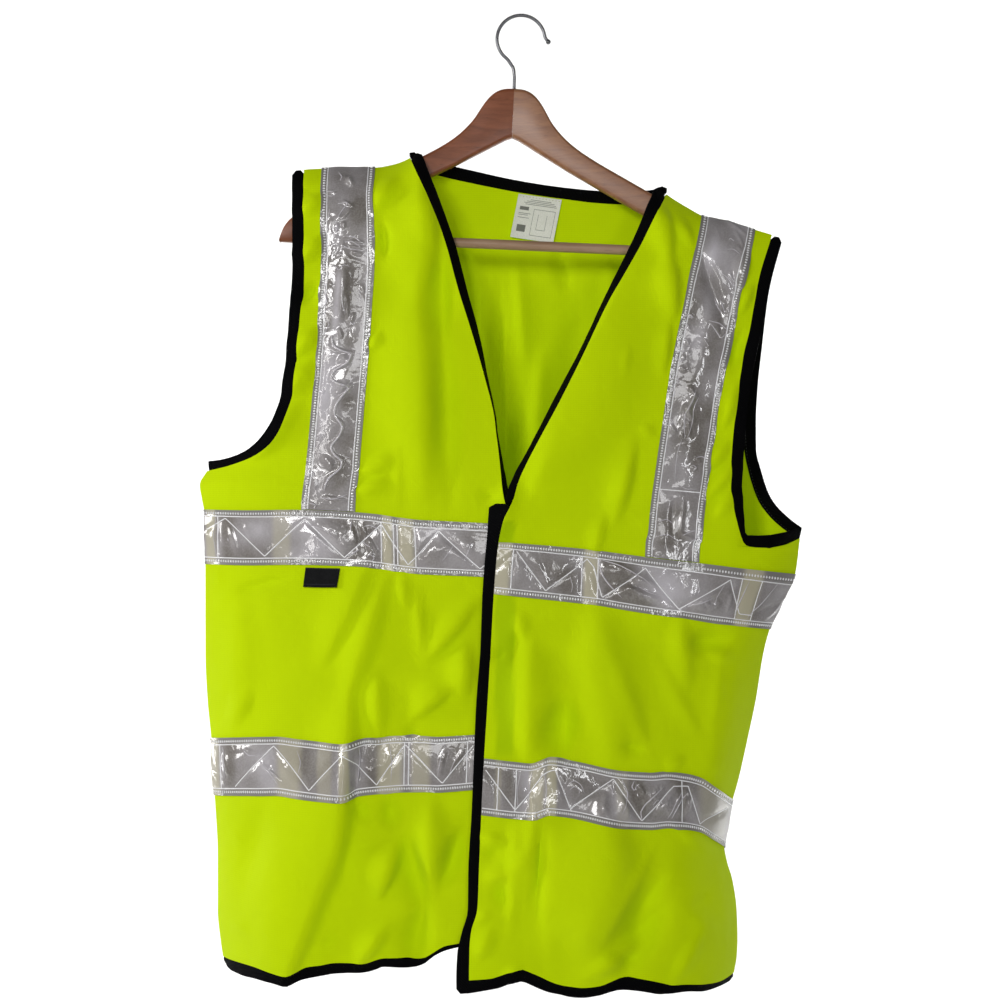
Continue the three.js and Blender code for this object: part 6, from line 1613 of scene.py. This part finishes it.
class VEST_OT_tapes(Operator):
    """Builds the ten tapes, with the weld lines and beads that hold their film down, and its pleats"""

    bl_idname = "vest.tapes"
    bl_label = "Reflective tapes"

    def execute(self, context):
        s = context.scene.vest_sizes
        finish = (s.film_bulge / MM, s.film_wave / MM, s.film_crumple / MM)
        mats = materials()
        for facing, front in FRONTS.items():
            ups = np.linspace(0, 1, 56)
            for band in ("chest", "waist"):
                across = spread([0, 1, 2, 3], 0.0093)
                down = mix(front[f"{band}_bottom"], front[f"{band}_top"], ups)
                args = (across[:, None], down[None, :], False, MARKS[f"{band}_{facing}"], finish, mats)
                name = f"{band}_tape_front_{facing}"
                SEWN[facing] += make_tape(f"{band}_film_{facing}", facing, front_plan, front, *args, name)
            down = spread([0.5, front["chest_top"] - SEAM_GAP], FRONT_FINE)
            across = mix(1, 2, ups) if facing == "left" else mix(2, 1, ups)
            args = (across[None, :], down[:, None], True, MARKS[f"shoulder_{facing}"], finish, mats)
            name = f"shoulder_tape_front_{facing}"
            SEWN[facing] += make_tape(f"shoulder_film_{facing}", facing, front_plan, front, *args, name)
        ups = np.linspace(0, 1, 28)
        for band in ("chest", "waist"):
            across = spread([0, 1, 2, 3, 4, 5, 6, 7], 0.021)
            down = mix(BACK[f"{band}_bottom"], BACK[f"{band}_top"], ups)
            args = (across[:, None], down[None, :], False, MARKS["back_band"], finish, mats)
            name = f"{band}_tape_back"
            SEWN["back"] += make_tape(f"{band}_film_back", "back", back_plan, BACK, *args, name)
        for side, first in (("left", 1), ("right", 5)):
            down = spread([0.5, BACK["chest_top"] - SEAM_GAP], BACK_FINE)
            across = mix(first, first + 1, ups)
            args = (across[None, :], down[:, None], True, MARKS["back_shoulder"], finish, mats)
            name = f"shoulder_tape_back_{side}"
            SEWN["back"] += make_tape(f"shoulder_film_back_{side}", "back", back_plan, BACK, *args, name)
        return {"FINISHED"}


class VEST_OT_bindings(Operator):
    """Builds the black bindings that are folded over every raw edge, with their stitches"""

    bl_idname = "vest.bindings"
    bl_label = "Bindings"

    def execute(self, context):
        mats = materials()
        for side, front in FRONTS.items():
            flip = 1 if side == "left" else -1
            down = spread([0, front["tip"]], BINDING_FINE)
            cloth, free = edge_points(side, front["armhole"], down)
            behind = spread([0, BACK_TIP], BINDING_FINE)[::-1]
            back_cloth, back_free = edge_points("back", BACK[f"armhole_{side}"], behind)
            cloth, free = np.concatenate([cloth, back_cloth[1:]]), np.concatenate([free, back_free[1:]])
            node = f"armhole_binding_{side}"
            SEWN[side] += make_binding(f"binding_armhole_{side}", cloth, free, flip, mats, node)
        for stretch, side, start, end, taper in (
            ("opening", "left", 0, 735, POINTED), ("opening", "right", 0, NECK_BINDING_END, POINTED),
            ("edge", "right", EDGE_STRIP_TOP, 707, BLUNT)
        ):
            flip = 1 if side == "right" else -1
            cloth, free = edge_points(side, FRONTS[side]["opening"], spread([start, end], BINDING_FINE))
            name, node = f"binding_{stretch}_{side}", f"{stretch}_binding_{side}"
            SEWN[side] += make_binding(name, cloth, free, flip, mats, node, taper)
        x = spread(list(BACK["neck_line"]["x"][[0, -1]]), BINDING_FINE)
        cloth, free = hem_points("back", BACK["neck_line"], x)
        SEWN["back"] += make_binding("binding_neck_back", cloth, free, -1, mats, "neck_binding_back")
        for side, cut in (*FRONTS.items(), ("back", BACK)):
            line = cut["hem_line"]
            lap = CORNER_LAP if side == "right" else -0.5
            x = spread([line["x"][0] - lap, line["x"][-1] - 0.5], BINDING_FINE)
            node = f"hem_binding_front_{side}" if side != "back" else "hem_binding_back"
            cloth, free = hem_points(side, line, x)
            SEWN[side] += make_binding(f"binding_hem_{side}", cloth, free, 1, mats, node, 2 * BLUNT)
        return {"FINISHED"}


class VEST_OT_labels(Operator):
    """Builds the woven label inside the neck, with plain bars only, and the bare tab on the front"""

    bl_idname = "vest.labels"
    bl_label = "Labels"

    def execute(self, context):
        mats = materials()
        SEWN["back"] += make_label(
            "woven_neck_label", "back", NECK_LABEL, -1, 2.2, 0.7, mats["label"], mats["label_thread"],
            "neck_label")
        SEWN["left"] += make_label(
            "woven_side_tab", "left", SIDE_TAB, 1, 1.2, 0.9, mats["tab"], mats["thread"], "side_tab")
        return {"FINISHED"}


class VEST_OT_hanger(Operator):
    """Builds the hanger: two shaped arms, the dowel between them and the wire hook"""

    bl_idname = "vest.hanger"
    bl_label = "Hanger"

    def execute(self, context):
        mats = materials()
        # The left arm takes the wood with painted shade, the right arm the wood with painted light.
        make_arm("wood_arm_left", -1, mats["dark_wood"], "hanger_arm_left")
        make_arm("wood_arm_right", 1, mats["light_wood"], "hanger_arm_right")
        make_crossbar("wood_crossbar", mats["dowel"], "hanger_crossbar")
        make_hook("wire_hook", mats["steel"], "hanger_hook")
        return {"FINISHED"}


class VEST_OT_sheets(Operator):
    """Does nothing: it returns at once"""

    bl_idname = "vest.sheets"
    bl_label = "Sheets of cloth"

    def execute(self, context):
        return {"FINISHED"}


FLOOR_Z = -1.35
WALL_Y = 2.4
COVE = 0.9  # radius of the ground's curve from floor to wall
VEST_MIDDLE = (0, 0, -0.5)
WALL_MIDDLE = (0, WALL_Y, -0.7)
# Each light's name, place, target, size, power and colour.
LIGHTS = (
    ("front", (-0.8, -2.1, 0.3), VEST_MIDDLE, (0.6, 0.45), 16.8, (1.0, 0.99, 0.99)),
    ("fill", (0.0, -2.4, 0.1), (0, 0, -0.45), (0.6, 0.4), 5, (1.0, 1.0, 1.0)),
    ("side", (-2.0, -0.35, -0.15), VEST_MIDDLE, (0.4, 0.8), 15, (1.0, 0.99, 0.97)),
    ("ring_left", (-0.8, -2.0, -0.35), (-0.05, 0, -0.5), (0.1, 0.8), 2.5, (1.0, 0.98, 0.96)),
    ("ring_right", (0.72, -2.0, -0.35), VEST_MIDDLE, (0.08, 0.8), 3.6, (0.97, 0.98, 1.0)),
    ("wall_left", (-1.5, 0.9, -0.2), WALL_MIDDLE, (1.0, 1.6), 36, (1.0, 1.0, 1.0)),
    ("wall_right", (1.5, 0.9, -0.2), WALL_MIDDLE, (1.0, 1.6), 36, (1.0, 1.0, 1.0)))


def area_light(name, place, target, size, power, colour):
    light = bpy.data.lights.new(name, "AREA")
    light.shape = "RECTANGLE"
    light.size, light.size_y = size
    light.energy = power
    light.color = colour
    lamp = bpy.data.objects.new(name, light)
    lamp.location = place
    lamp.rotation_euler = (Vector(target) - Vector(place)).to_track_quat("-Z", "Y").to_euler()
    bpy.context.scene.collection.objects.link(lamp)


class VEST_OT_stage(Operator):
    """Builds the pale seamless ground, the studio lights and the camera"""

    bl_idname = "vest.stage"
    bl_label = "Stage"

    def execute(self, context):
        scene = context.scene
        # A profile of floor, quarter circle and wall, carried along x.
        turn = np.linspace(0, np.pi / 2, 24)
        y = np.concatenate([[-4], WALL_Y - COVE + COVE * np.sin(turn), [WALL_Y]])
        z = np.concatenate([[FLOOR_Z], FLOOR_Z + COVE - COVE * np.cos(turn), [FLOOR_Z + 5]])
        x = np.array([-5.0, 5.0])
        grid = np.stack(np.broadcast_arrays(x[None, :], y[:, None], z[:, None]), -1)
        mesh = bpy.data.meshes.new("seamless_ground")
        faces = quads(np.arange(len(y) * 2).reshape(-1, 2))
        mesh.from_pydata(grid.reshape(-1, 3).tolist(), [], faces.tolist())
        mesh.shade_smooth()
        mesh.materials.append(studio_paper("#f4f4f4"))
        ground = bpy.data.objects.new("seamless_ground", mesh)
        scene.collection.objects.link(ground)

        world = bpy.data.worlds.new("studio")
        scene.world = world
        world.use_nodes = True
        background = world.node_tree.nodes["Background"]
        background.inputs["Color"].default_value = (1.0, 1.0, 1.0, 1)
        background.inputs["Strength"].default_value = 0.07
        for light in LIGHTS:
            area_light(*light)
        scene.view_settings.view_transform = "Standard"

        camera = bpy.data.cameras.new("camera")
        camera.sensor_width = 36
        camera.lens = 67.85
        camera.clip_end = 30
        seen = bpy.data.objects.new("camera", camera)
        seen.location = (-0.02, -1.8, -0.4613)
        seen.rotation_euler = (math.pi / 2, 0, 0)
        scene.collection.objects.link(seen)
        scene.camera = seen
        return {"FINISHED"}


class VEST_PT_sidebar(Panel):
    """Lists the colours, the sizes and the steps that build the vest"""

    bl_idname = "VEST_PT_sidebar"
    bl_label = "Vest"
    bl_space_type = "VIEW_3D"
    bl_region_type = "UI"
    bl_category = "Vest"

    def draw(self, context):
        for group in (context.scene.vest_colours, context.scene.vest_sizes):
            for name in group.__annotations__:
                self.layout.prop(group, name)
        for step in STEPS:
            self.layout.operator(step.bl_idname)


STEPS = (
    VEST_OT_panels, VEST_OT_tapes, VEST_OT_bindings, VEST_OT_labels, VEST_OT_hanger, VEST_OT_sheets,
    VEST_OT_stage)
CLASSES = (VestColours, VestSizes, *STEPS, VEST_PT_sidebar)


def register():
    for cls in CLASSES:
        bpy.utils.register_class(cls)
    bpy.types.Scene.vest_colours = PointerProperty(type=VestColours)
    bpy.types.Scene.vest_sizes = PointerProperty(type=VestSizes)


def unregister():
    del bpy.types.Scene.vest_sizes
    del bpy.types.Scene.vest_colours
    for cls in reversed(CLASSES):
        bpy.utils.unregister_class(cls)


def main():
    register()
    for step in STEPS:
        space, name = step.bl_idname.split(".")
        getattr(getattr(bpy.ops, space), name)()


if __name__ == "__main__":
    main()
